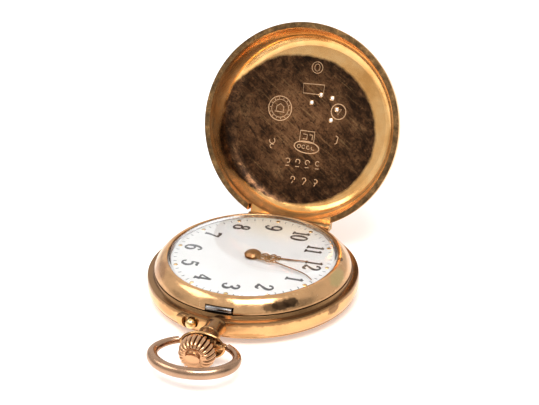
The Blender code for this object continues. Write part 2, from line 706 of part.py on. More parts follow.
def cock(name, circles, feet, low, high, holes, rooms=()):
    """A bridge in plan from a band round circles, on round feet that reach the main plate."""
    pillars = [rod((x, y, high - 0.1), (x, y, PLATE_Z[0] - 0.03), radius) for x, y, radius in feet]
    drills = [rod((x, y, low - 1), (x, y, high + 1), radius, 10) for x, y, radius in holes]
    node(name, "gilt_brass", plate([hull(circles)], low, high), join(*pillars) + cut(*drills, *rooms))


def make_bridges():
    low, high = BRIDGE_Z
    arbor_hole = (*BARREL, 0.62)
    rooms = [block((-2.3, -13.0, 0.5), (2.3, -10.52, 3.0)), block((-2.0, -10.6, 1.42), (2.0, -8.35, 3.0))]
    cock("barrel_bridge", [(5.5, -5.0, 5.4), (-1.0, -8.2, 4.0)],
         [(8.1, -8.9, 0.85), (-3.6, -6.6, 0.9), (3.9, -10.0, 0.8)], low, high, [arbor_hole], rooms)
    cock("centre_cock", [(7.6, 4.4, 1.6), (*CENTRE, 1.1)], [(7.6, 4.4, 1.5)], low, high,
         [(*CENTRE, 0.36)])
    cock("third_cock", [(2.6, 9.3, 1.6), (*THIRD, 0.8)], [(2.6, 9.3, 1.5)], low, high,
         [(*THIRD, PIVOT_HOLE)])
    cock("fourth_cock", [(-3.9, 10.4, 1.5), (*FOURTH, 0.6)], [(-3.9, 10.4, 1.4)], low, high,
         [(*FOURTH, PIVOT_HOLE)])
    cock("escape_cock", [(-9.7, 6.6, 1.2), (*ESCAPE, 0.7)], [(-9.7, 6.6, 1.1)], high + 0.02, high + 0.42,
         [(*ESCAPE, PIVOT_HOLE)])
    cock("balance_cock", [(-8.3, -6.6, 1.8), (*BALANCE, 1.5)], [(-8.3, -6.6, 1.7)], 0.92, 1.36,
         [(*BALANCE, PIVOT_HOLE)])


def arbor(axis, low, high, radius=0.22, tips=(1.75, PIVOT_TIP_Z)):
    """A wheel's arbor with a finer pivot at each end."""
    profile = [(0, tips[1]), (PIVOT_RADIUS, tips[1]), (PIVOT_RADIUS, high), (radius, high),
               (radius, low), (PIVOT_RADIUS, low), (PIVOT_RADIUS, tips[0]), (0, tips[0])]
    return lathe(profile, 8, (*axis, 0), closed=False)


def wheel(axis, teeth, module, toward, z, inner, arms=4):
    """A toothed wheel with crossed-out arms."""
    radius = module * teeth / 2
    outlines = [gear(teeth, radius, toward)] + crossings(inner, radius - 2.8 * module, arms, 0.42)
    return plate(outlines, z[0], z[1], axis)


def pinion(axis, leaves, module, toward, z):
    """A small gear, whose gap faces the wheel that drives it."""
    return plate([gear(leaves, module * leaves / 2, toward, gap=True)], z[0], z[1], axis)


def make_train():
    centre_arbor = lathe([(0, 6.9), (0.28, 6.9), (0.28, 4.06), (0.42, 4.06), (0.42, 2.34), (0.3, 2.34),
                          (0.3, 1.5), (0, 1.5)], 12, closed=False)
    node("centre_wheel", "gilt_brass",
         wheel(CENTRE, CENTRE_TEETH, CENTRE_MODULE, direction(CENTRE, THIRD), (2.42, 2.6), 0.9),
         join(centre_arbor, pinion(CENTRE, CENTRE_PINION, BARREL_MODULE, direction(CENTRE, BARREL),
                                   (3.5, 4.0))))
    node("third_wheel", "gilt_brass",
         wheel(THIRD, THIRD_TEETH, THIRD_MODULE, direction(THIRD, FOURTH), (3.55, 3.7), 0.7),
         join(arbor(THIRD, 2.36, 4.04),
              pinion(THIRD, THIRD_PINION, CENTRE_MODULE, direction(THIRD, CENTRE), (2.38, 2.8))))
    node("fourth_wheel", "gilt_brass",
         wheel(FOURTH, FOURTH_TEETH, FOURTH_MODULE, direction(FOURTH, ESCAPE), (2.95, 3.08), 0.6),
         join(arbor(FOURTH, 2.36, 4.04),
              pinion(FOURTH, FOURTH_PINION, THIRD_MODULE, direction(FOURTH, THIRD), (3.4, 3.85))))
    escape_rim = plate([saw_gear(ESCAPE_TEETH, 2.14, 1.75)] + crossings(0.55, 1.45, 3, 0.35),
                       3.45, 3.6, ESCAPE)
    node("escape_wheel", "steel", escape_rim,
         join(arbor(ESCAPE, 2.78, 4.04, 0.2, (2.4, PIVOT_TIP_Z)),
              pinion(ESCAPE, ESCAPE_PINION, FOURTH_MODULE, direction(ESCAPE, FOURTH), (2.85, 3.2))))


def make_balance():
    rim = plate([circle(BALANCE_RADIUS, 36)] + crossings(0.7, BALANCE_RADIUS - 0.45, 3, 0.5, 9),
                1.8, 2.15, BALANCE)
    hole = rod((*BALANCE, 1), (*BALANCE, 3), 0.34, 12)
    node("balance_wheel", "gold", rim, cut(hole))
    node("balance_staff", "steel", arbor(BALANCE, 1.42, 4.04, 0.3, (1.0, PIVOT_TIP_Z)))
    coil = plate([spiral(0.45, 2.5, 5, 0.07, 10)], 1.5, 1.64, BALANCE)
    node("hairspring", "blued_steel", coil)
    arm = hull([(0, 0, 0.62), *[(*step_from(CENTRE, 2.9, 70.0), 0.12)]])
    ring = plate([arm, circle(PIVOT_HOLE, 16)], 0.74, 0.88, BALANCE)
    node("regulator", "steel", ring)


def make_barrel():
    drum_radius = BARREL_MODULE * BARREL_TEETH / 2
    toothed = plate([gear(BARREL_TEETH, drum_radius, direction(BARREL, CENTRE)), circle(0.62, 16)],
                    3.62, 3.95, BARREL)
    wall = drum_radius - 0.32
    drum = lathe([(wall, 3.7), (wall, 2.8), (wall - 0.18, 2.8), (wall - 0.18, 3.7)], 28, (*BARREL, 0))
    node("barrel", "gilt_brass", toothed, join(drum))
    lid = plate([circle(wall - 0.22, 28), circle(0.62, 12)], 2.8, 2.92, BARREL)
    node("barrel_cover", "gilt_brass", lid)
    node("mainspring", "steel", plate([spiral(1.1, wall - 0.4, 4, 0.14, 12)], 2.98, 3.56, BARREL))
    profile = [(0, 4.55), (0.4, 4.55), (0.4, 4.0), (0.56, 4.0), (0.56, 3.6), (0.95, 3.56),
               (0.95, 2.98), (0.56, 2.95), (0.56, 1.26), (0.45, 1.24), (0.45, 0.82), (0, 0.82)]
    node("barrel_arbor", "steel", lathe(profile, 12, (*BARREL, 0), closed=False))


def make_winding():
    low, high = RATCHET_Z
    towards_crown_wheel = direction(BARREL, CROWN_WHEEL)
    ratchet_radius = WINDING_MODULE * RATCHET_TEETH / 2
    node("ratchet_wheel", "steel",
         plate([gear(RATCHET_TEETH, ratchet_radius, towards_crown_wheel), circle(0.48, 16)],
               low, high, BARREL))
    crown_radius = WINDING_MODULE * CROWN_WHEEL_TEETH / 2
    hub = lathe([(0, high), (0.8, high), (0.8, low - 0.06), (0, low - 0.06)], 16, (*CROWN_WHEEL, 0),
                closed=False)
    node("crown_wheel", "steel",
         plate([gear(CROWN_WHEEL_TEETH, crown_radius, direction(CROWN_WHEEL, BARREL), gap=True)],
               low, high, CROWN_WHEEL), join(hub))
    pivot = step_from(BARREL, 4.65, -20.0)
    nose = step_from(BARREL, ratchet_radius + 0.46, 9.0)
    pawl = plate([hull([(0, 0, 0.55), (nose[0] - pivot[0], nose[1] - pivot[1], 0.2)])],
                 low, high, pivot)
    node("click", "steel", pawl)
    bend = [step_from(pivot, 1.25, 40.0 - 18.0 * i) + (1.08,) for i in range(7)]
    node("click_spring", "blued_steel", wire(bend, 0.11, resolution=1))
    winder = lathe([(2.05, 11.6), (2.05, 10.75), (1.6, 10.65), (STEM_RADIUS + 0.05, 10.65),
                    (STEM_RADIUS + 0.05, 11.6)], 2 * WINDING_TEETH)
    slider = lathe([(1.6, 10.45), (1.75, 10.35), (1.75, 9.85), (1.15, 9.8), (1.15, 9.4), (1.75, 9.35),
                    (1.75, 8.85), (SLIDER_BORE, 8.85), (SLIDER_BORE, 10.45)], 20)
    for thing, teeth in ((winder, WINDING_TEETH), (slider, 10)):
        for vertex in thing.data.vertices:
            step = round(math.atan2(vertex.co.y, vertex.co.x) * teeth / math.pi)
            if math.hypot(vertex.co.x, vertex.co.y) > 1.7 * MM and step % 2:
                vertex.co.x *= 0.86
                vertex.co.y *= 0.86
    node("winding_pinion", "steel", outward(winder))
    node("sliding_pinion", "steel", outward(slider))


def make_setting():
    """The set pin pushes the yoke, whose other end moves the sliding pinion along the stem."""
    pad = step_from(CENTRE, 13.05, SET_PIN_ANGLE)
    shape = [tuple(a - b for a, b in zip(p, YOKE_PIVOT)) for p in (pad, (-1.62, -9.6))]
    arm = plate([hull([(0, 0, 0.6), (*shape[0], 0.42)], 14)], 2.75, 3.3, YOKE_PIVOT)
    fork = plate([hull([(0, 0, 0.6), (*shape[1], 0.16)], 14)], 2.75, 3.3, YOKE_PIVOT)
    hole = rod((*YOKE_PIVOT, 2), (*YOKE_PIVOT, 4), 0.25, 12)
    node("yoke", "steel", arm, join(fork) + cut(hole))
    bend = [(-6.2 + 0.55 * i, -7.45 - 0.016 * i * i, 3.0) for i in range(7)]
    node("yoke_spring", "blued_steel", wire(bend, 0.1, resolution=1))
    hub = plate([gear(35, 2.2, 90.0), circle(0.4, 12)], MOTION_Z, MOTION_Z + 0.2, SETTING_WHEEL)
    node("setting_wheel", "steel", hub)


def make_motion_work():
    z = MOTION_Z
    tube = lathe([(0.5, 7.05), (0.5, z), (0.31, z), (0.31, 7.05)], 12)
    leaves = plate([gear(10, 0.625, -90.0), circle(0.4, 12)], z + 0.02, z + 0.3)
    node("cannon_pinion", "steel", tube, join(leaves))
    small = plate([gear(8, 0.5, 90.0)], z + 0.15, z + 0.66, MINUTE_WHEEL)
    node("minute_wheel", "gilt_brass",
         plate([gear(30, 1.875, 90.0, gap=True)], z, z + 0.2, MINUTE_WHEEL), join(small))
    rim = plate([gear(32, 2.0, -90.0, gap=True), circle(0.65, 12)], z + 0.42, z + 0.64)
    sleeve = lathe([(0.74, 6.79), (0.74, z + 0.4), (0.55, z + 0.4), (0.55, 6.79)], 12)
    node("hour_wheel", "gilt_brass", rim, join(sleeve))


def make_hands():
    low, high = HOUR_HAND_Z
    scroll = step_from(CENTRE, 3.2, HOUR_HAND_ANGLE)
    shaft = plate([taper([(0.9, 0.42), (2.6, 0.3), (4.4, 0.34), (7.6, 0.12), (9.0, 0.04)],
                         HOUR_HAND_ANGLE)], low, high)
    boss = plate([circle(1.3, 16)], low, high)
    loop = plate([circle(0.85, 12, scroll)], low, high)
    hole = rod((0, 0, low - 1), (0, 0, high + 1), 0.77)
    node("hour_hand", "gold", boss, join(shaft, loop) + cut(hole))
    low, high = MINUTE_HAND_Z
    scroll = step_from(CENTRE, 4.4, MINUTE_HAND_ANGLE)
    dome = lathe([(0, 7.64), (0.8, 7.5), (1.33, high), (1.33, low), (0, low)], 16, closed=False)
    shaft = plate([taper([(0.9, 0.34), (3.4, 0.2), (5.6, 0.26), (9.0, 0.12), (12.0, 0.04)],
                         MINUTE_HAND_ANGLE)], low, high)
    loop = plate([circle(0.7, 12, scroll)], low, high)
    hole = rod((0, 0, low - 1), (0, 0, high + 0.02), 0.53)
    node("minute_hand", "gold", dome, join(shaft, loop) + cut(hole))


def main():
    make_case_middle()
    make_bezel()
    make_crystal()
    make_front_lid()
    make_back_cover()
    make_cuvette()
    make_pendant()
    make_bow()
    make_crown()
    make_stem()
    make_lid_catch()
    make_set_pin()
    make_case_springs()
    make_dial()
    make_main_plate()
    make_bridges()
    make_train()
    make_balance()
    make_barrel()
    make_winding()
    make_setting()
    make_motion_work()
    make_hands()


for old in list(bpy.data.objects):
    bpy.data.objects.remove(old, do_unlink=True)
parts = make_collection("hunter_pocket_watch")
cutters = make_collection("cutters")
main()
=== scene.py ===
import math

import bmesh
import bpy
from mathutils import Euler, Matrix, Vector


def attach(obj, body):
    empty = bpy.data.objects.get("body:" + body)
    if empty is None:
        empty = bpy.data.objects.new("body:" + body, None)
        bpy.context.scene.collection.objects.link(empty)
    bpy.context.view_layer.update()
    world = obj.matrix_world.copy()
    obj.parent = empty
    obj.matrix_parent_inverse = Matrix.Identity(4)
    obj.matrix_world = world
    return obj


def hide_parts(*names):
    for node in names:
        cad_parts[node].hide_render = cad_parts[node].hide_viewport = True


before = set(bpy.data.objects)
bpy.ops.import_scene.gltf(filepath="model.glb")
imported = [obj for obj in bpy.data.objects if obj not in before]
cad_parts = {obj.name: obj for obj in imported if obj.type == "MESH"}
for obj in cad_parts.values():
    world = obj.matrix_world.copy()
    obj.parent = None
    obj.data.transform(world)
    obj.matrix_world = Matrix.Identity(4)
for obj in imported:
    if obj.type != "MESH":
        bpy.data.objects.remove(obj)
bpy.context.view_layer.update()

MM = 0.001
FINE = 192
ROUND_CORNER = 0.05

# Case, in millimetres in the CAD part's frame
LEDGE_Z = 4.2
BACK_JOINT_Z = 1.46
MOVEMENT_BORE = 13.45
LID_HINGE = (16.2, 5.0)
LID_OPEN = 112.6
LID_HINGE_TURN = -2.1
LID_HINGE_HALF = 7.2
LID_KNUCKLE = 0.6
LID_MIDDLE = 2.2
BACK_HINGE = (16.75, 1.5)
BACK_HINGE_HALF = 3.4
BACK_KNUCKLE = 0.5
BACK_MIDDLE = 1.2
CUVETTE_HINGE = (15.42, 1.75)
CUVETTE_HINGE_HALF = 2.4
CUVETTE_KNUCKLE = 0.32
CUVETTE_MIDDLE = 0.8
KNUCKLE_GAP = 0.06
LID_PIN_BORE = 0.3
BACK_PIN_BORE = 0.24
CUVETTE_PIN_BORE = 0.16
STEM_Z = 3.2
SET_PIN_ANGLE = -103.8
GUARD_ANGLE = -108.3
GUARD_HOLLOW_ANGLE = -106.1
SET_PIN_BALL = 17.5
SET_PIN_BORE = 0.46
SET_PIN_CUP = 0.96
SET_PIN_Z = 3.0
BOW_HALF_WIDTH = 6.58
BOW_HALF_DEPTH = 4.87
BOW_CENTRE_Y = -26.24
BOW_PIVOT = (4.0, -22.37)
CROWN_FLUTES = 22

# Dial and hands
DIAL_TOP = 6.5
TRACK_RADIUS = 12.42
NUMERAL_RADIUS = 10.1
NUMERAL_HEIGHT = 2.8
INK = 0.012
HOUR_HAND_ANGLE = 4.0
MINUTE_HAND_ANGLE = -20.0
MINUTE_DROOP_START = 9.4
MINUTE_DROOP = 0.05

# Stones in the lid
STONE_RADIUS = 0.32
STONE_SPREAD = 2.33
STONE_START = -163.4
STONE_STEP = 52.5
STONE_CENTRE = (1.85, -2.98)
LID_FLOOR = 9.42
PATINA_CENTRE = (-1.9, 1.15)
PATINA_RADII = (13.6, 12.7)

# Camera, at the photographed angle
CAMERA_PLACE = (105.1, -284.4, 171.7)
CAMERA_AZIMUTH = 19.75
CAMERA_ELEVATION = 27.14
CAMERA_ROLL = -0.98
CAMERA_LENS = 144.3

# Studio walls as (azimuth, elevation, inner and outer half angle, brightness)
WALLS = (
    (-160.0, 30.0, 26.0, 38.0, 0.95),
    (-18.0, 16.0, 9.0, 17.0, 0.6),
    (75.0, 22.0, 10.0, 22.0, 0.3),
    (-75.0, 8.0, 5.0, 14.0, 0.45),
)
WALL_TONE = 0.74

# Slant of the polishing scratches, in radians
GRAIN_TURN = 0.4

# Soft lights as (name, azimuth, elevation, distance and size in metres, watts)
SOFTBOXES = (
    ("softbox_top", 20.0, 66.0, 0.9, (0.5, 0.4), 6.5),
    ("softbox_left", -75.0, 50.0, 0.9, (0.5, 0.35), 2.0),
)

# Floor, in metres
FLOOR_RADIUS = 1.6
FLOOR_DROP = 0.00003
FLOOR_GLOW = 0.3


# Mesh tools

def rotation(degrees, axis="Z"):
    return Matrix.Rotation(math.radians(degrees), 4, axis)


def shift(x, y, z):
    """A move given in millimetres."""
    return Matrix.Translation((x * MM, y * MM, z * MM))


def step_from(point, distance, degrees):
    angle = math.radians(degrees)
    return (point[0] + distance * math.cos(angle), point[1] + distance * math.sin(angle))


def curved(points, per=6):
    """A smooth run through points of any dimension."""
    run = []
    last = len(points) - 1
    for i in range(last):
        around = [points[max(i - 1, 0)], points[i], points[i + 1], points[min(i + 2, last)]]
        for k in range(per):
            t = k / per
            run.append(tuple(0.5 * (2 * b + (c - a) * t + (2 * a - 5 * b + 4 * c - d) * t * t
                                    + (3 * b - a - 3 * c + d) * t ** 3)
                             for a, b, c, d in zip(*around)))
    run.append(tuple(points[-1]))
    return run


def softened(points, radius=ROUND_CORNER, closed=True, least=25.0, steps=4):
    """Rounds the corners of a profile that turn by more than a least angle."""
    out = []
    count = len(points)
    for i, point in enumerate(points):
        here = Vector(point)
        if not closed and i in (0, count - 1):
            out.append(tuple(here))
            continue
        before = Vector(points[i - 1]) - here
        after = Vector(points[(i + 1) % count]) - here
        turn = math.pi - before.angle(after)
        if math.degrees(turn) < least:
            out.append(tuple(here))
            continue
        reach = min(radius * math.tan(turn / 2), 0.45 * before.length, 0.45 * after.length)
        start = here + before.normalized() * reach
        end = here + after.normalized() * reach
        for k in range(steps + 1):
            t = k / steps
            out.append(tuple((1 - t) ** 2 * start + 2 * t * (1 - t) * here + t * t * end))
    return out


def turned(profile, steps=FINE, closed=True, shape_by=None):
    """A solid of revolution from (radius, height) points; shape_by changes each vertex."""
    shape = bmesh.new()
    rings = []
    for radius, height in profile:
        if radius < 1e-6:
            rings.append([shape.verts.new((0.0, 0.0, height * MM))] * steps)
            continue
        ring = []
        for k in range(steps):
            angle = 2 * math.pi * k / steps
            spot = (radius, angle, height)
            if shape_by:
                x, y, z = shape_by(*spot)
            else:
                x, y, z = radius * math.cos(angle), radius * math.sin(angle), height
            ring.append(shape.verts.new((x * MM, y * MM, z * MM)))
        rings.append(ring)
    pairs = list(zip(rings, rings[1:]))
    if closed:
        pairs.append((rings[-1], rings[0]))
    for upper, lower in pairs:
        for k in range(steps):
            after = (k + 1) % steps
            corners = list(dict.fromkeys((upper[k], upper[after], lower[after], lower[k])))
            if len(corners) > 2:
                shape.faces.new(corners)
    return shape


def loose(shape):
    """A bmesh as an unnamed object, with its faces pointing out."""
    bmesh.ops.recalc_face_normals(shape, faces=shape.faces)
    mesh = bpy.data.meshes.new("shape")
    shape.to_mesh(mesh)
    shape.free()
    thing = bpy.data.objects.new("shape", mesh)
    bpy.context.scene.collection.objects.link(thing)
    return thing


def lathe(profile, steps=FINE, **options):
    """A turned object whose profile starts and ends on the axis."""
    return loose(turned(profile, steps, closed=False, **options))


def rod(start, end, radius, sides=48):
    shape = bmesh.new()
    along = Vector(end) - Vector(start)
    bmesh.ops.create_cone(shape, cap_ends=True, segments=sides, radius1=radius * MM,
                          radius2=radius * MM, depth=along.length * MM)
    turn = along.to_track_quat("Z", "Y").to_matrix().to_4x4()
    middle = (Vector(start) + Vector(end)) / 2 * MM
    bmesh.ops.transform(shape, matrix=Matrix.Translation(middle) @ turn, verts=shape.verts)
    return loose(shape)


def block(low, high):
    shape = bmesh.new()
    bmesh.ops.create_cube(shape, size=1.0)
    sizes = [(b - a) * MM for a, b in zip(low, high)]
    bmesh.ops.scale(shape, vec=sizes, verts=shape.verts)
    bmesh.ops.translate(shape, vec=(Vector(low) + Vector(high)) / 2 * MM, verts=shape.verts)
    return loose(shape)


def cut(*things):
    return [(thing, "DIFFERENCE") for thing in things]


def join(*things):
    return [(thing, "UNION") for thing in things]


def carved(base, changes):
    """Cuts and joins things to a base, in order, and removes them."""
    for thing, operation in changes:
        change = base.modifiers.new(operation, "BOOLEAN")
        change.operation = operation
        change.object = thing
    bpy.context.view_layer.update()
    evaluated = base.evaluated_get(bpy.context.evaluated_depsgraph_get())
    mesh = bpy.data.meshes.new_from_object(evaluated)
    base.modifiers.clear()
    base.data = mesh
    for thing in {thing for thing, operation in changes}:
        bpy.data.objects.remove(thing, do_unlink=True)
    return base


def swivel(*things):
    """Turns pieces of the lid's hinge about the watch's axis to where that hinge lies."""
    for thing in things:
        thing.data.transform(rotation(LID_HINGE_TURN))
    return things


def lid_swing(degrees):
    """A turn about the lid's hinge."""
    hinge = rotation(LID_HINGE_TURN) @ shift(0.0, *LID_HINGE)
    return hinge @ rotation(degrees, "X") @ hinge.inverted()


def swing_open(thing):
    """Moves a lid piece from its shut to its open place."""
    thing.data.transform(lid_swing(-LID_OPEN))
    return thing


def outward(thing):
    """Lays a turned piece along -Y, so that its heights count outward along the stem."""
    thing.data.transform(shift(0.0, 0.0, STEM_Z) @ rotation(90.0, "X"))
    return thing


def finish(thing, name, material, body, replaced=(), sharp=32.0):
    """Names a piece, gives it its material and shading, and puts it on its body."""
    thing.name = name
    thing.data.name = name
    thing.data.materials.clear()
    for one in material if isinstance(material, (list, tuple)) else [material]:
        thing.data.materials.append(one)
    thing.data.shade_smooth()
    thing.data.set_sharp_from_angle(angle=math.radians(sharp))
    even = thing.modifiers.new("even_normals", "WEIGHTED_NORMAL")
    even.keep_sharp = True
    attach(thing, body)
    if replaced:
        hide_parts(*replaced)
    return thing


def skin(shape, rows, closed=False):
    """Faces between rows of vertices; an open run has its two ends capped."""
    pairs = list(zip(rows, rows[1:]))
    if closed:
        pairs.append((rows[-1], rows[0]))
    for a, b in pairs:
        for k in range(len(a)):
            j = (k + 1) % len(a)
            shape.faces.new((a[k], a[j], b[j], b[k]))
    if not closed:
        shape.faces.new(rows[0][::-1])
        shape.faces.new(rows[-1])


def stroke(shape, points, low, high, per=5, closed=False, ridge=0.0):
    """Adds a flat bar of varying half width along (x, y, half width) points."""
    line = curved(points, per)
    if closed:
        line = line[:-1]
    count = len(line)
    rows = []
    for i, (x, y, half) in enumerate(line):
        before = line[i - 1] if i or closed else line[i]
        after = line[(i + 1) % count] if i < count - 1 or closed else line[i]
        along = Vector((after[0] - before[0], after[1] - before[1]))
        along.normalize()
        side = Vector((-along.y, along.x)) * half
        inner = side * 0.55
        section = [(side, low), (-side, low), (-side, (low + high) / 2), (-inner, high),
                   (Vector((0.0, 0.0)), high + ridge), (inner, high), (side, (low + high) / 2)]
        rows.append([shape.verts.new(((x + s.x) * MM, (y + s.y) * MM, z * MM)) for s, z in section])
    skin(shape, rows, closed)


def ring_stroke(shape, centre, radius, half, low, high, count=20, ridge=0.0):
    points = [(centre[0] + radius * math.cos(2 * math.pi * i / count),
               centre[1] + radius * math.sin(2 * math.pi * i / count), half)
              for i in range(count + 1)]
    stroke(shape, points, low, high, per=2, closed=True, ridge=ridge)


def wire_mesh(shape, points, radius, sides=8, closed=False):
    """Adds a round wire along points in millimetres."""
    count = len(points)
    rows = []
    for i, point in enumerate(points):
        before = Vector(points[i - 1] if i or closed else point)
        after = Vector(points[(i + 1) % count] if i < count - 1 or closed else point)
        along = (after - before).normalized()
        across = along.orthogonal() if abs(along.z) > 0.9 else along.cross((0, 0, 1))
        across.normalize()
        up = along.cross(across)
        width = radius[i] if isinstance(radius, (list, tuple)) else radius
        row = []
        for k in range(sides):
            angle = 2 * math.pi * k / sides
            spot = Vector(point) + (across * math.cos(angle) + up * math.sin(angle)) * width
            row.append(shape.verts.new(spot * MM))
        rows.append(row)
    skin(shape, rows, closed)


# Materials

def feed(tree, node, inputs):
    """Gives a node's inputs their values, or links sockets to them."""
    for key, value in inputs.items():
        if isinstance(value, bpy.types.NodeSocket):
            tree.links.new(value, node.inputs[key])
        else:
            node.inputs[key].default_value = value


def add_node(tree, kind, inputs=None, **settings):
    made = tree.nodes.new(kind)
    for key, value in settings.items():
        setattr(made, key, value)
    feed(tree, made, inputs or {})
    return made


def new_material(name):
    material = bpy.data.materials.new(name)
    material.use_nodes = True
    tree = material.node_tree
    return material, tree, tree.nodes["Principled BSDF"]


def object_coords(tree):
    return add_node(tree, "ShaderNodeTexCoord").outputs["Object"]


def noise_at(tree, place, scale, detail, roughness):
    inputs = {"Vector": place, "Scale": scale, "Detail": detail, "Roughness": roughness}
    return add_node(tree, "ShaderNodeTexNoise", inputs).outputs["Fac"]


def noise(tree, scale, detail=4.0, stretch=(1.0, 1.0, 1.0), turn=(0.0, 0.0, 0.0), roughness=0.55):
    inputs = {"Vector": object_coords(tree), "Scale": stretch, "Rotation": turn}
    mapping = add_node(tree, "ShaderNodeMapping", inputs)
    return noise_at(tree, mapping.outputs["Vector"], scale, detail, roughness)


def slanted_noise(tree, scale, stretch, degrees, roughness=0.7):
    """Noise drawn out along a slant on the open lid's floor."""
    lie = (math.radians(LID_OPEN - 180.0), 0.0, math.radians(degrees))
    laid = add_node(tree, "ShaderNodeMapping", {"Vector": object_coords(tree), "Rotation": lie})
    inputs = {"Vector": laid.outputs["Vector"], "Scale": (1.0, stretch, stretch)}
    drawn = add_node(tree, "ShaderNodeMapping", inputs)
    return noise_at(tree, drawn.outputs["Vector"], scale, 6.0, roughness)


def ramp(tree, source, stops):
    made = add_node(tree, "ShaderNodeValToRGB", {"Fac": source})
    elements = made.color_ramp.elements
    elements[0].position, elements[0].color = stops[0][0], (*stops[0][1], 1.0)
    elements[1].position, elements[1].color = stops[-1][0], (*stops[-1][1], 1.0)
    for position, colour in stops[1:-1]:
        elements.new(position).color = (*colour, 1.0)
    return made.outputs["Color"]


def map_range(tree, source, low, high, to_low, to_high, smooth=False):
    inputs = {"Value": source, "From Min": low, "From Max": high, "To Min": to_low, "To Max": to_high}
    kind = "SMOOTHSTEP" if smooth else "LINEAR"
    return add_node(tree, "ShaderNodeMapRange", inputs, interpolation_type=kind).outputs["Result"]


def mixed(tree, factor, first, second):
    inputs = {0: factor, 6: first, 7: second}
    return add_node(tree, "ShaderNodeMix", inputs, data_type="RGBA").outputs[2]


def bumped(tree, shader, heights):
    """Adds bump layers given as (height, strength, distance in metres)."""
    inputs = {}
    for height, strength, distance in heights:
        inputs.update({"Height": height, "Strength": strength, "Distance": distance})
        inputs["Normal"] = add_node(tree, "ShaderNodeBump", inputs).outputs["Normal"]
    feed(tree, shader, {"Normal": inputs["Normal"]})


def reckoned(tree, operation, first, second):
    inputs = {0: first, 1: second}
    return add_node(tree, "ShaderNodeMath", inputs, operation=operation).outputs["Value"]


def distance_from(tree, centre, radii):
    """How far a point lies from a place in millimetres, in shares of the radii along X, Y and Z."""
    inputs = {
        "Vector": object_coords(tree),
        "Scale": [1 / (radius * MM) for radius in radii],
        "Location": [-c / radius for c, radius in zip(centre, radii)],
    }
    share = add_node(tree, "ShaderNodeMapping", inputs).outputs["Vector"]
    return add_node(tree, "ShaderNodeVectorMath", {0: share}, operation="LENGTH").outputs["Value"]


def scaled(colour, factor):
    return tuple(min(1.0, c * factor) for c in colour)


def uneven(name, scale, detail, low, high):
    """A new material whose colour wanders between two near tones."""
    material, tree, shader = new_material(name)
    colour = ramp(tree, noise(tree, scale, detail), [(0.3, low), (0.7, high)])
    feed(tree, shader, {"Base Color": colour})
    return material, tree, shader, colour


def metal(name, tint, roughness, spread, tone, scratches, waves, dirt_and_shade=0.0, metallic=1.0, stains_and_shade=()):
    """Polished metal with uneven tone, stains and painted shade at given places, hazy patches, fine
    scratches, and dirt with painted shade in its corners.
    """
    material, tree, shader = new_material(name)
    broad = noise(tree, 260.0, 5.0)
    colour = ramp(tree, broad, [(0.3, scaled(tint, 1 - tone)), (0.5, tint),
                                (0.72, scaled(tint, 1 + tone / 2))])
    # Each patch mixes a colour in about a place: some are stains, some are painted shade
    for centre, radii, patch_colour, share in stains_and_shade:
        ragged = reckoned(tree, "MULTIPLY", noise(tree, 1300.0, 5.0, roughness=0.7), 1.1)
        away = reckoned(tree, "ADD", distance_from(tree, centre, radii), ragged)
        colour = mixed(tree, map_range(tree, away, 1.2, 1.65, share, 0.0, smooth=True), colour, (*patch_colour, 1.0))
    # Painted shade in corners and gaps, found by ambient occlusion, standing also for dirt there
    if dirt_and_shade:
        corners = add_node(tree, "ShaderNodeAmbientOcclusion", {"Distance": 0.0009}, samples=6)
        depth = map_range(tree, corners.outputs["AO"], 0.25, 0.85, dirt_and_shade, 0.0)
        colour = mixed(tree, depth, colour, (*scaled(tint, 0.16), 1.0))
    haze = map_range(tree, noise(tree, 1100.0, 6.0), 0.32, 0.72, roughness - spread, roughness + spread)
    feed(tree, shader, {"Metallic": metallic, "Base Color": colour, "Roughness": haze})
    one_way = noise(tree, 900.0, 3.0, (1.0, 14.0, 14.0), (0.0, 0.0, GRAIN_TURN))
    other_way = noise(tree, 700.0, 3.0, (16.0, 1.0, 16.0), (0.0, 0.3, GRAIN_TURN - 0.9))
    ripple = noise(tree, 420.0, 2.0)
    bumped(tree, shader, [(ripple, waves, 0.0002), (one_way, scratches, 0.000006),
                          (other_way, scratches, 0.000006)])
    return material


GOLD_TINT = (0.70, 0.40, 0.17)

# Stains, painted shade and other patches as (centre and radii in millimetres, colour, strength)
BEZEL_STAINS_AND_SHADE = (
    ((7.6, -13.2, 5.9), (1.9, 1.2, 0.7), (0.10, 0.05, 0.02), 0.8),
    ((8.9, -12.4, 6.0), (1.9, 1.3, 0.75), (0.05, 0.025, 0.011), 0.9),
    ((10.2, -11.3, 6.1), (1.7, 1.3, 0.75), (0.05, 0.025, 0.011), 0.9),
    # Painted shade: the bezel darker at its foot, over the ledge where it meets the band
    ((0.0, 0.0, 4.6), (90.0, 90.0, 0.75), (0.26, 0.13, 0.055), 0.6),
    ((-12.6, -8.0, 6.2), (2.6, 2.6, 1.4), (0.36, 0.17, 0.08), 0.6),
    ((14.6, -2.0, 6.3), (1.4, 2.6, 1.2), (0.56, 0.46, 0.20), 0.6),
    ((13.9, 2.6, 7.1), (0.4, 0.7, 0.4), (0.05, 0.03, 0.02), 0.8),
)
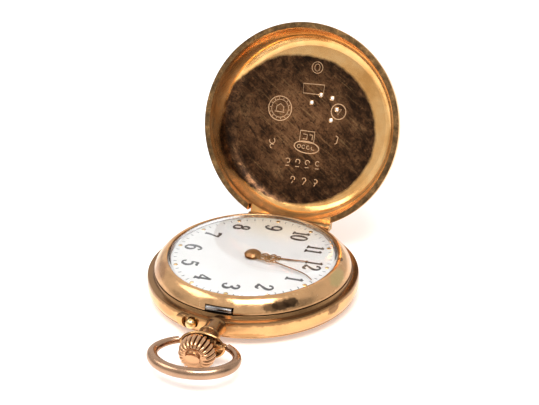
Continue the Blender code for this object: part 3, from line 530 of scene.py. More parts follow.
BAND_STAINS_AND_SHADE = (
    # Painted shade: the ledge under the bezel and the band's top darkened, dulling its highlight
    ((0.0, 0.0, 4.3), (90.0, 90.0, 0.85), (0.19, 0.09, 0.035), 0.8),
    # Painted shade: the band darker towards its foot, near the floor
    ((0.0, 0.0, 0.8), (90.0, 90.0, 0.75), (0.14, 0.065, 0.024), 0.75),
    # Darker strip along the lid's hinge
    ((0.6, 16.2, 5.0), (8.5, 0.8, 0.9), (0.13, 0.085, 0.03), 0.8),
    ((15.6, -6.6, 3.3), (1.0, 1.5, 0.8), (0.16, 0.08, 0.035), 0.8),
    # Painted shade: darker on the low front of the band, beside the pendant
    ((5.0, -16.3, 1.9), (3.4, 1.5, 0.5), (0.36, 0.18, 0.06), 0.7),
    ((-9.5, -14.1, 3.0), (2.4, 2.0, 0.8), (0.40, 0.20, 0.08), 0.5),
)
LID_DARK_PATCHES = (
    # Darker strip along the hinge
    ((0.6, 16.2, 5.2), (9.0, 1.3, 1.2), (0.16, 0.10, 0.035), 0.8),
    ((-8.0, 16.9, 9.0), (3.0, 2.0, 4.0), (0.34, 0.21, 0.08), 0.5),
)
# Painted shade: a dark crescent on the near, lower side of the boss's dome
BOSS_PAINTED_SHADE = (((-0.3, -1.2, 7.15), (1.5, 0.62, 0.5), (0.05, 0.035, 0.025), 0.95),)

case_gold = metal("case_gold", GOLD_TINT, 0.17, 0.07, 0.2, 0.12, 0.12, dirt_and_shade=1.0, metallic=0.92,
                  stains_and_shade=BAND_STAINS_AND_SHADE)
back_gold = metal("back_gold", GOLD_TINT, 0.17, 0.07, 0.2, 0.12, 0.12, dirt_and_shade=0.4, metallic=0.92)
bezel_gold = metal("bezel_gold", (0.68, 0.385, 0.18), 0.2, 0.09, 0.26, 0.14, 0.16, dirt_and_shade=0.9, metallic=0.92,
                   stains_and_shade=BEZEL_STAINS_AND_SHADE)
lid_gold = metal("lid_gold", (0.74, 0.42, 0.18), 0.18, 0.07, 0.14, 0.15, 0.16, dirt_and_shade=0.6, metallic=0.86,
                 stains_and_shade=LID_DARK_PATCHES)
mark_gold = metal("mark_gold", (0.72, 0.45, 0.25), 0.3, 0.08, 0.3, 0.2, 0.05, dirt_and_shade=0.4, metallic=0.45)
bow_gold = metal("bow_gold", (0.44, 0.265, 0.165), 0.24, 0.06, 0.24, 0.2, 0.12, dirt_and_shade=0.9)
crown_gold = metal("crown_gold", (0.64, 0.36, 0.19), 0.15, 0.06, 0.2, 0.12, 0.06, dirt_and_shade=1.0)
pin_gold = metal("pin_gold", (0.83, 0.58, 0.27), 0.15, 0.06, 0.12, 0.2, 0.06, dirt_and_shade=0.6)
hand_gold = metal("hand_gold", (0.26, 0.125, 0.055), 0.34, 0.08, 0.2, 0.2, 0.05)
boss_gold = metal("boss_gold", (0.62, 0.37, 0.13), 0.24, 0.08, 0.2, 0.1, 0.05, stains_and_shade=BOSS_PAINTED_SHADE)
dot_gold = metal("dot_gold", (0.85, 0.60, 0.25), 0.2, 0.06, 0.12, 0.1, 0.03)
cover_gold = metal("cover_gold", (0.86, 0.60, 0.28), 0.17, 0.06, 0.10, 0.25, 0.10, dirt_and_shade=0.5)
gilt = metal("gilt_frosted", (0.78, 0.58, 0.30), 0.38, 0.06, 0.10, 0.15, 0.05, dirt_and_shade=0.3)
wheel_brass = metal("wheel_brass", (0.80, 0.60, 0.30), 0.24, 0.06, 0.10, 0.2, 0.04)
steel = metal("polished_steel", (0.26, 0.25, 0.245), 0.2, 0.07, 0.15, 0.4, 0.05, dirt_and_shade=0.6)
blued = metal("blued_steel", (0.07, 0.10, 0.24), 0.22, 0.06, 0.25, 0.2, 0.04)


def make_rim_material():
    """The matt, khaki edge face of the lid, which the polishing never reaches."""
    material, tree, shader = new_material("lid_rim")
    patches = noise(tree, 700.0, 6.0, roughness=0.7)
    colour = ramp(tree, patches, [(0.32, (0.06, 0.033, 0.012)), (0.48, (0.17, 0.09, 0.033)),
                                  (0.62, (0.34, 0.18, 0.065)), (0.75, (0.52, 0.29, 0.11))])
    grain = map_range(tree, noise(tree, 3600.0, 4.0, roughness=0.7), 0.42, 0.6, 0.0, 0.55)
    colour = mixed(tree, grain, colour, (0.07, 0.045, 0.02, 1.0))
    feed(tree, shader, {"Metallic": 0.85, "Base Color": colour, "Roughness": 0.46})
    bumped(tree, shader, [(noise(tree, 5200.0, 3.0), 0.5, 0.00002)])
    return material


def lid_distance(tree, centre, radii):
    """How far a point of the open lid lies from a spot on its floor, in shares of the radii."""
    coords = object_coords(tree)
    squares = []
    for row, middle, radius in zip(lid_swing(LID_OPEN), centre, radii):
        dot = add_node(tree, "ShaderNodeVectorMath", {0: coords, 1: row.xyz / (radius * MM)},
                       operation="DOT_PRODUCT")
        share = reckoned(tree, "ADD", dot.outputs["Value"], row.w / (radius * MM) - middle / radius)
        squares.append(reckoned(tree, "MULTIPLY", share, share))
    return reckoned(tree, "SQRT", reckoned(tree, "ADD", *squares), 0.0)


def make_lid_inside():
    """Polished gold round brown, mottled patina that painted shade darkens towards its ragged edge, with
    streaks and darker specks.
    """
    material, tree, shader = new_material("lid_inside")
    patches = noise(tree, 230.0, 9.0, roughness=0.78)
    colour = ramp(tree, patches, [(0.36, (0.018, 0.008, 0.003)), (0.45, (0.09, 0.038, 0.015)),
                                  (0.55, (0.215, 0.095, 0.04)), (0.68, (0.42, 0.21, 0.09))])
    streaks = slanted_noise(tree, 240.0, 7.0, 31.0)
    streak_mask = map_range(tree, streaks, 0.52, 0.62, 0.0, 0.7)
    colour = mixed(tree, streak_mask, colour, (0.31, 0.148, 0.064, 1.0))
    dark_streaks = slanted_noise(tree, 330.0, 5.0, 50.0)
    dark_mask = map_range(tree, dark_streaks, 0.53, 0.64, 0.0, 0.7)
    colour = mixed(tree, dark_mask, colour, (0.018, 0.008, 0.004, 1.0))
    hairlines = slanted_noise(tree, 150.0, 30.0, 34.0, 0.55)
    colour = mixed(tree, map_range(tree, hairlines, 0.59, 0.68, 0.0, 0.6), colour, (0.46, 0.26, 0.11, 1.0))
    around = lid_distance(tree, PATINA_CENTRE, PATINA_RADII)
    blotch = map_range(tree, noise(tree, 700.0, 6.0, roughness=0.75), 0.38, 0.6, 0.35, 1.0)
    # Painted shade: the patina darkens towards its edge, so its middle looks brighter; mottling breaks it up
    painted_edge_shade = map_range(tree, around, 0.25, 0.95, 0.0, 0.9, smooth=True)
    colour = mixed(tree, reckoned(tree, "MULTIPLY", painted_edge_shade, blotch), colour, (0.012, 0.005, 0.002, 1.0))
    specks = noise(tree, 2900.0, 5.0, roughness=0.8)
    speck_mask = map_range(tree, specks, 0.52, 0.62, 0.0, 0.8)
    colour = mixed(tree, speck_mask, colour, (0.008, 0.004, 0.0015, 1.0))
    wavy = noise(tree, 150.0, 8.0, roughness=0.7)
    edge = reckoned(tree, "ADD", around, reckoned(tree, "MULTIPLY", wavy, 0.12))
    polished = map_range(tree, edge, 1.03, 1.075, 0.0, 1.0, smooth=True)
    broad = noise(tree, 260.0, 5.0)
    gold = ramp(tree, broad, [(0.3, (0.74, 0.37, 0.11)), (0.5, (0.90, 0.50, 0.18)),
                              (0.72, (0.96, 0.60, 0.26))])
    dull = map_range(tree, patches, 0.3, 0.75, 0.42, 0.22)
    bright = map_range(tree, noise(tree, 1100.0, 6.0), 0.32, 0.72, 0.11, 0.25)
    feed(tree, shader, {"Metallic": 0.88, "Base Color": mixed(tree, polished, colour, gold),
                        "Roughness": mixed(tree, polished, dull, bright)})
    bumped(tree, shader, [(noise(tree, 330.0, 3.0), 0.16, 0.0002), (streaks, 0.12, 0.00003),
                          (noise(tree, 3300.0, 4.0), 0.2, 0.00001)])
    return material


def make_enamel():
    material, tree, shader, colour = uneven("dial_enamel", 120.0, 3.0, (0.93, 0.92, 0.90),
                                            (0.96, 0.95, 0.935))
    # Painted reflected light: the dial warmer towards the open lid, standing for light thrown off its gold
    near_lid = distance_from(tree, (1.0, 13.0, 6.5), (11.0, 8.0, 9.0))
    painted_warm_glow = map_range(tree, near_lid, 0.3, 1.1, 0.7, 0.0, smooth=True)
    feed(tree, shader, {"Base Color": mixed(tree, painted_warm_glow, colour, (1.0, 0.87, 0.66, 1.0)),
                        "Roughness": 0.12, "Specular IOR Level": 0.35})
    bumped(tree, shader, [(noise(tree, 300.0, 2.0), 0.05, 0.0001)])
    return material


def make_ink():
    dark, paler = (0.012, 0.011, 0.011), (0.035, 0.032, 0.03)
    material, tree, shader, colour = uneven("dial_ink", 2500.0, 4.0, dark, paler)
    feed(tree, shader, {"Roughness": 0.3})
    return material


def make_crystal_material():
    """Clear glass, with a few faint hairlines in the polish."""
    material, tree, shader, colour = uneven("crystal_glass", 500.0, 2.0, (0.985, 0.985, 0.98),
                                            (1.0, 1.0, 1.0))
    hairlines = map_range(tree, noise(tree, 1500.0, 5.0), 0.45, 0.75, 0.0, 0.03)
    feed(tree, shader, {"Transmission Weight": 1.0, "IOR": 1.4, "Roughness": hairlines})
    return material


def make_stone_material():
    material, tree, shader, colour = uneven("clear_stone", 3000.0, 2.0, (0.90, 0.92, 0.95), (1.0, 1.0, 1.0))
    feed(tree, shader, {"IOR": 2.0, "Roughness": 0.04, "Specular IOR Level": 0.8})
    return material


lid_rim = make_rim_material()
lid_inside = make_lid_inside()
enamel = make_enamel()
ink = make_ink()
glass = make_crystal_material()
stone = make_stone_material()


# The case

def barrels(pivot, radius, spans):
    """Hinge barrels along X at (y, z), with a small round at each end."""
    y, z = pivot
    things = []
    for x0, x1 in spans:
        half = (x1 - x0) / 2
        profile = softened([(0, half), (radius, half), (radius, -half), (0, -half)], 0.06, closed=False)
        thing = lathe(profile, 40)
        thing.data.transform(shift((x0 + x1) / 2, y, z) @ rotation(90.0, "Y"))
        things.append(thing)
    return things


def outer_spans(middle, half):
    """The spans of a hinge's two outer knuckles, either side of its middle one."""
    return [(middle + KNUCKLE_GAP, half), (-half, -middle - KNUCKLE_GAP)]


def band_point(radius, degrees):
    return (*step_from((0.0, 0.0), radius, degrees), SET_PIN_Z)


def set_pin_point(radius):
    return band_point(radius, SET_PIN_ANGLE)


def make_case_middle():
    outside = curved([(16.84, LEDGE_Z), (16.95, 3.95), (17.0, 3.4), (17.0, 2.7), (16.9, 2.05),
                      (16.6, BACK_JOINT_Z)])
    profile = outside + [
        (15.75, BACK_JOINT_Z), (15.6, 1.7), (15.6, 3.9), (15.3, 4.25), (MOVEMENT_BORE, 4.6),
        (MOVEMENT_BORE, 5.45), (15.2, 5.45), (15.2, 4.85), (15.85, 4.75), (16.0, LEDGE_Z + 0.02),
        (16.55, LEDGE_Z - 0.02),
    ]
    y, z = LID_HINGE
    back_y, back_z = BACK_HINGE
    inner_y, inner_z = CUVETTE_HINGE
    rooms = [
        block((-BACK_HINGE_HALF - 0.1, back_y - 0.62, 0.5),
              (BACK_HINGE_HALF + 0.1, back_y + 1.0, back_z + 0.62)),
        block((-CUVETTE_HINGE_HALF - 0.15, inner_y - 1.0, 1.2),
              (CUVETTE_HINGE_HALF + 0.15, inner_y + 0.38, inner_z + 0.42)),
    ]
    lid_lug = block((0.1 - LID_MIDDLE, y - 0.45, 3.9), (LID_MIDDLE - 0.1, y + 0.4, z))
    lugs = [
        block((0.1 - BACK_MIDDLE, back_y - 0.9, back_z), (BACK_MIDDLE - 0.1, back_y + 0.3, back_z + 0.95)),
        block((0.1 - CUVETTE_MIDDLE, inner_y - 0.1, inner_z),
              (CUVETTE_MIDDLE - 0.1, inner_y + 0.5, inner_z + 0.7)),
    ]
    lugs += swivel(lid_lug, *barrels(LID_HINGE, LID_KNUCKLE, [(-LID_MIDDLE, LID_MIDDLE)]))
    lugs += barrels(BACK_HINGE, BACK_KNUCKLE, [(-BACK_MIDDLE, BACK_MIDDLE)])
    lugs += barrels(CUVETTE_HINGE, CUVETTE_KNUCKLE, [(-CUVETTE_MIDDLE, CUVETTE_MIDDLE)])
    holes = [
        rod((0, -19, STEM_Z), (0, -14, STEM_Z), 0.8),
        rod(set_pin_point(18.5), set_pin_point(14.5), SET_PIN_BORE),
        rod(set_pin_point(18.5), set_pin_point(16.1), SET_PIN_CUP),
        block((-1.1, -15.25, 3.5), (1.1, -13.0, 6.0)),
        block((-2.3, -16.5, 5.05), (2.3, -13.9, 6.0)),
        *swivel(rod((-9, y, z), (9, y, z), LID_PIN_BORE)),
        rod((-5, back_y, back_z), (5, back_y, back_z), BACK_PIN_BORE),
        rod((-3, inner_y, inner_z), (3, inner_y, inner_z), CUVETTE_PIN_BORE),
    ]
    thing = carved(loose(turned(softened(profile))), cut(*rooms) + join(*lugs) + cut(*holes))
    finish(thing, "case_band", case_gold, "case", ["case_middle"])


def make_bezel():
    outside = curved([(13.85, 7.2), (14.25, 7.07), (14.8, 6.66), (15.35, 6.0), (15.72, 5.3), (15.8, 4.95)])
    profile = outside + [
        (15.26, 4.95), (15.26, 5.5), (14.08, 5.5), (14.08, 6.55), (13.56, 6.6), (13.56, 7.02),
        (13.68, 7.18),
    ]
    y = LID_HINGE[0]
    hinge_flat = block((-8, y - LID_KNUCKLE - 0.08, 4), (8, y + 1, 8))
    catch_notch = block((-2.35, -17, 4), (2.35, -13.7, 5.93))
    thing = carved(loose(turned(softened(profile))), cut(*swivel(hinge_flat), catch_notch))
    finish(thing, "bezel_ring", bezel_gold, "case", ["bezel"])


def make_crystal():
    top = curved([(0, 8.42), (4, 8.38), (8, 8.2), (11.2, 7.88), (12.6, 7.58), (13.3, 7.2), (13.52, 6.9)])
    under = curved([(13.2, 6.64), (12.9, 7.0), (12.3, 7.3), (11, 7.57), (8, 7.86), (4, 8.03), (0, 8.07)])
    finish(lathe(top + [(13.5, 6.64)] + under), "domed_crystal", glass, "case", ["crystal"])


def make_front_lid():
    rim = LEDGE_Z + 0.03
    outside = curved([(0, 9.95), (6, 9.9), (11.5, 9.72), (14.0, 9.3), (15.5, 8.5), (16.4, 7.2), (16.85, 5.8),
                      (17.0, 4.75), (17.0, rim + 0.12)])
    step = [(16.95, rim), (16.06, rim), (16.0, 4.6), (15.93, 4.92)]
    inside = curved([(15.9, 5.1), (15.82, 6.0), (15.5, 7.2), (14.95, 8.3), (14.1, 9.05), (13.2, 9.36),
                     (12.4, LID_FLOOR), (0, LID_FLOOR)])
    y, z = LID_HINGE
    half = LID_HINGE_HALF
    spans = outer_spans(LID_MIDDLE, half)
    notch = block((-half - 0.15, y - 1.9, 4.0), (half + 0.15, 18.0, 6.0))
    webs = [block((x0 + 0.1, y - 1.9, z + 0.25), (x1 - 0.1, y + 0.3, z + 1.3)) for x0, x1 in spans]
    catch_pocket = block((-2.4, -16.42, 5.0), (2.4, -15.0, 6.0))
    drills = [rod((sx, sy, 8.5), (sx, sy, 10.5), STONE_RADIUS + 0.03, 24) for sx, sy in stone_places()]
    drills += swivel(rod((-9, y, z), (9, y, z), LID_PIN_BORE))
    room = lathe([(0, 3.9), (16.06, 3.9)] + step[1:] + inside)
    thing = lathe(softened(outside + step[:1] + [(0, rim)], closed=False))
    knuckles = barrels(LID_HINGE, LID_KNUCKLE, spans)
    swivel(notch, *webs, *knuckles)
    changes = cut(notch) + join(*webs) + cut(room, catch_pocket) + join(*knuckles) + cut(*drills)
    carved(thing, changes)
    zones = [lid_gold, lid_rim, lid_inside]
    finish(swing_open(thing), "lid_shell", zones, "lid", ["front_lid"])
    turn_back = lid_swing(LID_OPEN).to_3x3()
    for face in thing.data.polygons:
        spot = lid_local(face.center)
        facing = turn_back @ face.normal
        radius = math.hypot(spot.x, spot.y) / MM
        height = spot.z / MM
        if height < rim + 0.05 and radius > 15.9:
            face.material_index = 1
        elif height < 9.5 and radius < 16.03 and looks_inward(spot, facing):
            face.material_index = 2
        else:
            face.material_index = 0


def lid_local(point):
    """A point of the open lid, in its shut place."""
    return lid_swing(LID_OPEN) @ point


def looks_inward(spot, facing):
    """Whether a face of the shut lid looks down, or towards the watch's axis."""
    return facing.z + (facing.x * spot.x + facing.y * spot.y) / math.hypot(spot.x, spot.y) < 0


def stone_places():
    return [step_from(STONE_CENTRE, STONE_SPREAD, STONE_START + STONE_STEP * i) for i in range(5)]


def make_stones():
    """Brilliant-cut stones seen from below, each in a beaded setting on the lid's outer face."""
    for i, (x, y) in enumerate(stone_places()):
        profile = [(0, 10.06), (0.19, 10.05), (0.31, 9.92), (0.32, 9.6), (0.26, 9.46), (0.14, 9.4), (0, 9.4)]
        gem = lathe(profile, 8)
        gem.data.transform(shift(x, y, 0.0))
        name = "lid_stone_%d" % (i + 1)
        finish(swing_open(gem), "gem_%d" % (i + 1), stone, "lid", [name], sharp=5.0)
    shape = bmesh.new()
    for x, y in stone_places():
        ring = [(x + 0.40 * math.cos(a), y + 0.40 * math.sin(a), 9.93)
                for a in (2 * math.pi * k / 32 for k in range(32))]
        wire_mesh(shape, ring, 0.07, closed=True)
        for k in range(4):
            bx, by = step_from((x, y), 0.33, 45.0 + 90.0 * k)
            bmesh.ops.create_uvsphere(shape, u_segments=10, v_segments=6, radius=0.07 * MM,
                                      matrix=shift(bx, by, 10.0))
        under = [(x + 0.37 * math.cos(a), y + 0.37 * math.sin(a), LID_FLOOR)
                 for a in (2 * math.pi * k / 32 for k in range(32))]
        wire_mesh(shape, under, 0.035, closed=True)
    finish(swing_open(loose(shape)), "stone_settings", lid_gold, "lid")


def make_pins():
    """Hinge pins with slightly domed ends."""
    rows = (("lid_hinge_pin", LID_HINGE, LID_HINGE_HALF, 0.26),
            ("back_hinge_pin", BACK_HINGE, BACK_HINGE_HALF, 0.2),
            ("cuvette_hinge_pin", CUVETTE_HINGE, CUVETTE_HINGE_HALF, 0.12))
    for name, (y, z), half, radius in rows:
        profile = curved([(0, half + 0.03), (radius * 0.7, half), (radius, half - 0.08)], 4)
        profile += [(r, -h) for r, h in reversed(profile)]
        thing = lathe(profile, 32)
        thing.data.transform(shift(0.0, y, z) @ rotation(90.0, "Y"))
        if name == "lid_hinge_pin":
            swivel(thing)
        finish(thing, name.replace("_pin", "_rod"), pin_gold, "case", [name])


def make_cover(profile, inside, arms, knuckles, room, bore):
    """A dished cover with its hinge arms, knuckles and pin's bore."""
    changes = cut(lathe(inside)) + join(*arms) + join(*knuckles) + cut(room, bore)
    return carved(lathe(softened(profile, closed=False)), changes)


def make_back_cover():
    top = BACK_JOINT_Z - 0.04
    outside = curved([(16.6, top - 0.06), (16.35, 1.1), (15.6, 0.78), (14.0, 0.42), (12.0, 0.16),
                      (10.2, 0.02)])
    profile = [(0, top), (16.56, top)] + outside + [(9.6, 0), (0, 0)]
    inside = [(0, 3), (15.95, 3), (15.95, 1.38)]
    inside += curved([(15.4, 1.2), (14.0, 0.84), (12.0, 0.52), (10.0, 0.36), (9.0, 0.34), (0, 0.34)])
    y, z = BACK_HINGE
    spans = outer_spans(BACK_MIDDLE, BACK_HINGE_HALF)
    room = block((-BACK_MIDDLE - KNUCKLE_GAP, y - 0.75, 0.7), (BACK_MIDDLE + KNUCKLE_GAP, y + 1, 3))
    arms = [block((x0 + 0.1, y - 0.85, 1.02), (x1 - 0.1, y, 1.4)) for x0, x1 in spans]
    knuckles = barrels(BACK_HINGE, BACK_KNUCKLE, spans)
    thing = make_cover(profile, inside, arms, knuckles, room, rod((-5, y, z), (5, y, z), BACK_PIN_BORE))
    finish(thing, "back_shell", back_gold, "back", ["back_cover"])


def make_cuvette():
    outside = curved([(15.38, 1.68), (15.2, 1.42), (14.4, 1.08), (12.2, 0.66), (10.2, 0.44)])
    profile = [(0, 1.75), (15.34, 1.75)] + outside + [(9.5, 0.42), (0, 0.42)]
    inside = [(0, 3), (15.13, 3), (15.13, 1.7)]
    inside += curved([(14.9, 1.5), (14.0, 1.24), (12.1, 0.9), (10.0, 0.68), (9.0, 0.66), (0, 0.66)])
    y, z = CUVETTE_HINGE
    spans = outer_spans(CUVETTE_MIDDLE, CUVETTE_HINGE_HALF)
    room = block((-CUVETTE_MIDDLE - KNUCKLE_GAP, y - 0.4, 1.2), (CUVETTE_MIDDLE + KNUCKLE_GAP, y + 1, 3))
    arms = [block((x0 + 0.1, y - 0.6, 1.45), (x1 - 0.1, y - 0.1, 1.75)) for x0, x1 in spans]
    knuckles = barrels(CUVETTE_HINGE, CUVETTE_KNUCKLE, spans)
    thing = make_cover(profile, inside, arms, knuckles, room, rod((-3, y, z), (3, y, z), CUVETTE_PIN_BORE))
    finish(thing, "inner_cover_shell", cover_gold, "inner_cover", ["cuvette"])


# Pendant, crown, bow, catch and set pin

def oval_flare(radius, angle, height):
    flare = max(0.0, min(1.0, (height - 20.9) / 2.1)) if radius > 0.9 else 0.0
    wide = 1 + flare * (3.75 / 3.15 - 1)
    tall = 1 + flare * (2.25 / 3.15 - 1)
    return (radius * math.cos(angle) * wide, radius * math.sin(angle) * tall, height)


def band_keep_out():
    """What lies inside the band's outer face, with a little room."""
    return lathe([(0, 8.0), (17.06, 8.0), (17.06, 2.5), (16.91, 1.9), (16.66, 1.3), (0, 1.3)])


def make_pendant():
    flare = curved([(1.62, 20.45), (1.68, 20.9), (1.95, 21.6), (2.5, 22.2), (3.0, 22.6)])
    neck = curved([(1.58, 19.8), (1.56, 19.0), (1.56, 17.6), (1.6, 17.2), (1.66, 17.0)])
    bead = curved([(1.62, 20.4), (1.78, 20.3), (1.82, 20.15), (1.78, 20.0), (1.62, 19.9)], 4)
    profile = [(2.85, 23.0), (3.06, 23.0), (3.15, 22.9), (3.13, 22.74)] + flare[::-1] + bead + neck
    profile += [(1.66, 16.4), (0.8, 16.4), (0.8, 21.7)]
    profile += curved([(1.4, 21.75), (2.1, 22.05), (2.65, 22.6), (2.85, 23.0)])[:-1]
    tube = loose(turned(softened(profile, 0.05), 128, shape_by=oval_flare))
    outward(tube)
    x, y = BOW_PIVOT
    ears = []
    for side in (-1, 1):
        profile = curved([(0.62, 2.0), (0.62, 2.7), (0.57, 3.25), (0.45, x - 0.34)], 4)
        ear = lathe([(0, 2.0)] + profile + [(0, x - 0.34)], 48)
        ear.data.transform(shift(0.0, y, STEM_Z) @ rotation(side * 90.0, "Y"))
        ears.append(ear)
    sockets = [rod((side * 2.9, y, STEM_Z), (side * (x + 1), y, STEM_Z), 0.35) for side in (-1, 1)]
    thing = carved(tube, join(*ears) + cut(band_keep_out(), *sockets))
    finish(thing, "pendant_neck", case_gold, "case", ["pendant"])


def make_bow():
    x_end, y_end = BOW_PIVOT
    start = math.asin(x_end / BOW_HALF_WIDTH)
    points, radii = [], []
    count = 120
    for i in range(count + 1):
        share = i / count
        angle = start + (2 * math.pi - 2 * start) * share
        points.append((BOW_HALF_WIDTH * math.sin(angle), BOW_CENTRE_Y + BOW_HALF_DEPTH * math.cos(angle),
                       STEM_Z))
        fullness = min(1.0, 3.2 * min(share, 1 - share))
        fullness = fullness * fullness * (3 - 2 * fullness)
        radii.append(0.58 + 0.34 * fullness)
    shape = bmesh.new()
    wire_mesh(shape, points, radii, 32)
    ring = loose(shape)
    pins = [rod((side * 3.15, y_end, STEM_Z), (side * (x_end + 0.1), y_end, STEM_Z), 0.3)
            for side in (-1, 1)]
    thing = carved(ring, join(*pins))
    finish(thing, "bow_ring", bow_gold, "bow", ["bow"])


def make_crown():
    def fluted(radius, angle, height):
        depth = max(0.0, min(1.0, (radius - 1.42) / 0.6))
        wave = abs(math.cos(angle * CROWN_FLUTES / 2)) ** 0.55
        reach = radius * (1 - 0.19 * depth * (1 - wave))
        return (reach * math.cos(angle), reach * math.sin(angle), height)

    side = curved([(1.42, 26.94), (1.95, 26.88), (2.4, 26.55), (2.75, 25.9), (2.93, 25.1), (2.85, 24.5),
                   (2.6, 24.0), (2.2, 23.6), (1.8, 23.35)], 8)
    end = curved([(0, 27.36), (0.7, 27.35), (1.1, 27.31)], 4) + [(1.22, 27.25), (1.23, 27.0)]
    profile = softened(end + side + [(0, 23.35)], 0.04, closed=False)
    knob = lathe(profile, CROWN_FLUTES * 16, shape_by=fluted)
    outward(knob)
    socket = rod((0, -23.0, STEM_Z), (0, -26.0, STEM_Z), 0.49)
    finish(carved(knob, cut(socket)), "crown_knob", crown_gold, "winder", ["crown"], sharp=50.0)


def make_catch():
    """The catch's nose: a rounded steel bar with a groove worn along its face."""
    section = curved([(-15.88, 5.42), (-15.88, 5.70), (-15.72, 5.84), (-15.35, 5.85), (-14.97, 5.83)], 4)
    section += [(-14.95, 5.17)]
    section += curved([(-15.35, 5.15), (-15.72, 5.16), (-15.87, 5.26), (-15.84, 5.34),
                       (-15.88, 5.42)], 4)[:-1]
    shape = bmesh.new()
    rows = []
    for x, inset in ((-2.1, 0.06), (-2.04, 0.0), (2.04, 0.0), (2.1, 0.06)):
        row = []
        for y, z in section:
            centre_y, centre_z = -15.42, 5.5
            row.append(shape.verts.new((x * MM, (y + (centre_y - y) * inset) * MM,
                                        (z + (centre_z - z) * inset) * MM)))
        rows.append(row)
    skin(shape, rows)
    arm = block((-1.0, -14.97, 2.5), (1.0, -14.5, 5.7))
    fork = block((-0.51, -15.5, 2.0), (0.51, -14.0, 3.9))
    thing = carved(loose(shape), join(arm) + cut(fork))
    finish(thing, "catch_nose", steel, "catch", ["lid_catch"])


def make_set_pin():
    """An oval guard with a rolled lip on the band, and the round button in its hollow."""
    profile = [(0, 0), (1.1, 0), (1.1, 0.85)]
    profile += curved([(1.1, 0.85), (1.04, 1.08), (0.85, 1.19), (0.45, 1.22), (0, 1.22)])

    def stretched(radius, angle, height):
        return (radius * math.cos(angle) * 1.6, radius * math.sin(angle), height)

    up = Vector((0.0, 0.0, 1.0))

    def basis(degrees):
        along = Vector((*step_from((0.0, 0.0), 1.0, degrees), 0.0))
        tangent = Vector((-along.y, along.x, 0.0))
        return Matrix((tangent, up, along)).transposed().to_4x4()

    guard = lathe(profile, 96, shape_by=stretched)
    guard.data.transform(Matrix.Translation(Vector(band_point(16.4, GUARD_ANGLE)) * MM) @ basis(GUARD_ANGLE))
    cup = rod(set_pin_point(16.8), set_pin_point(18.4), SET_PIN_CUP)
    hollow = rod(band_point(16.9, GUARD_HOLLOW_ANGLE), band_point(18.4, GUARD_HOLLOW_ANGLE), 1.0)
    bore = rod(set_pin_point(16.0), set_pin_point(18.0), SET_PIN_BORE)
    thing = carved(guard, cut(band_keep_out(), cup, hollow, bore))
    finish(thing, "set_pin_bezel", case_gold, "case", ["set_pin_guard"])
    ball = curved([(0, 0.86), (0.34, 0.79), (0.62, 0.58), (0.8, 0.28), (0.84, 0.0), (0.76, -0.3), (0.5, -0.6),
                   (0.38, -0.8)])
    ball += [(0.38, -3.87), (0, -3.87)]
    button = lathe(ball, 64)
    centre = Vector(set_pin_point(SET_PIN_BALL)) * MM
    button.data.transform(Matrix.Translation(centre) @ basis(SET_PIN_ANGLE))
    finish(button, "set_pin_button", pin_gold, "set_button", ["set_pin"])


# Dial and hands

def make_dial():
    profile = [(13.9, DIAL_TOP)] + curved([(13.9, DIAL_TOP), (13.97, 6.47), (14.0, 6.4)], 3)
    profile += [(14.0, 5.9), (0.9, 5.9), (0.9, 6.42), (0.98, 6.5)]
    thing = loose(turned(profile))
    finish(thing, "dial_plate", enamel, "case", ["dial"])


def minute_angle(minute):
    return -6.0 * minute


def make_track():
    ticks = bmesh.new()
    for minute in range(60):
        if minute % 5 == 0:
            continue
        angle = minute_angle(minute)
        inner = step_from((0.0, 0.0), TRACK_RADIUS - 0.27, angle)
        outer = step_from((0.0, 0.0), TRACK_RADIUS + 0.27, angle)
        stroke(ticks, [(*inner, 0.07), (*outer, 0.07)], DIAL_TOP - 0.01, DIAL_TOP + INK, per=1)
    finish(loose(ticks), "minute_track", ink, "case")
    dots = bmesh.new()
    for hour in range(12):
        x, y = step_from((0.0, 0.0), TRACK_RADIUS, minute_angle(5 * hour))
        dome = shift(x, y, DIAL_TOP) @ Matrix.Diagonal((1.0, 1.0, 0.25, 1.0))
        bmesh.ops.create_uvsphere(dots, u_segments=20, v_segments=10, radius=0.36 * MM, matrix=dome)
    finish(loose(dots), "hour_dots", dot_gold, "case")


def oval(cx, cy, rx, ry, thick, thin, count=16):
    points = []
    for i in range(count + 1):
        angle = 2 * math.pi * i / count
        width = thin + (thick - thin) * abs(math.cos(angle)) ** 1.6
        points.append((cx + rx * math.cos(angle), cy + ry * math.sin(angle), width))
    return points


SIX = [(0.50, 0.83, 0.055), (0.43, 0.94, 0.03), (0.31, 0.98, 0.02), (0.15, 0.80, 0.05), (0.08, 0.45, 0.075),
       (0.13, 0.15, 0.05), (0.30, 0.015, 0.02), (0.46, 0.12, 0.05), (0.52, 0.32, 0.065), (0.44, 0.52, 0.04),
       (0.30, 0.58, 0.02), (0.17, 0.50, 0.02), (0.10, 0.36, 0.02)]

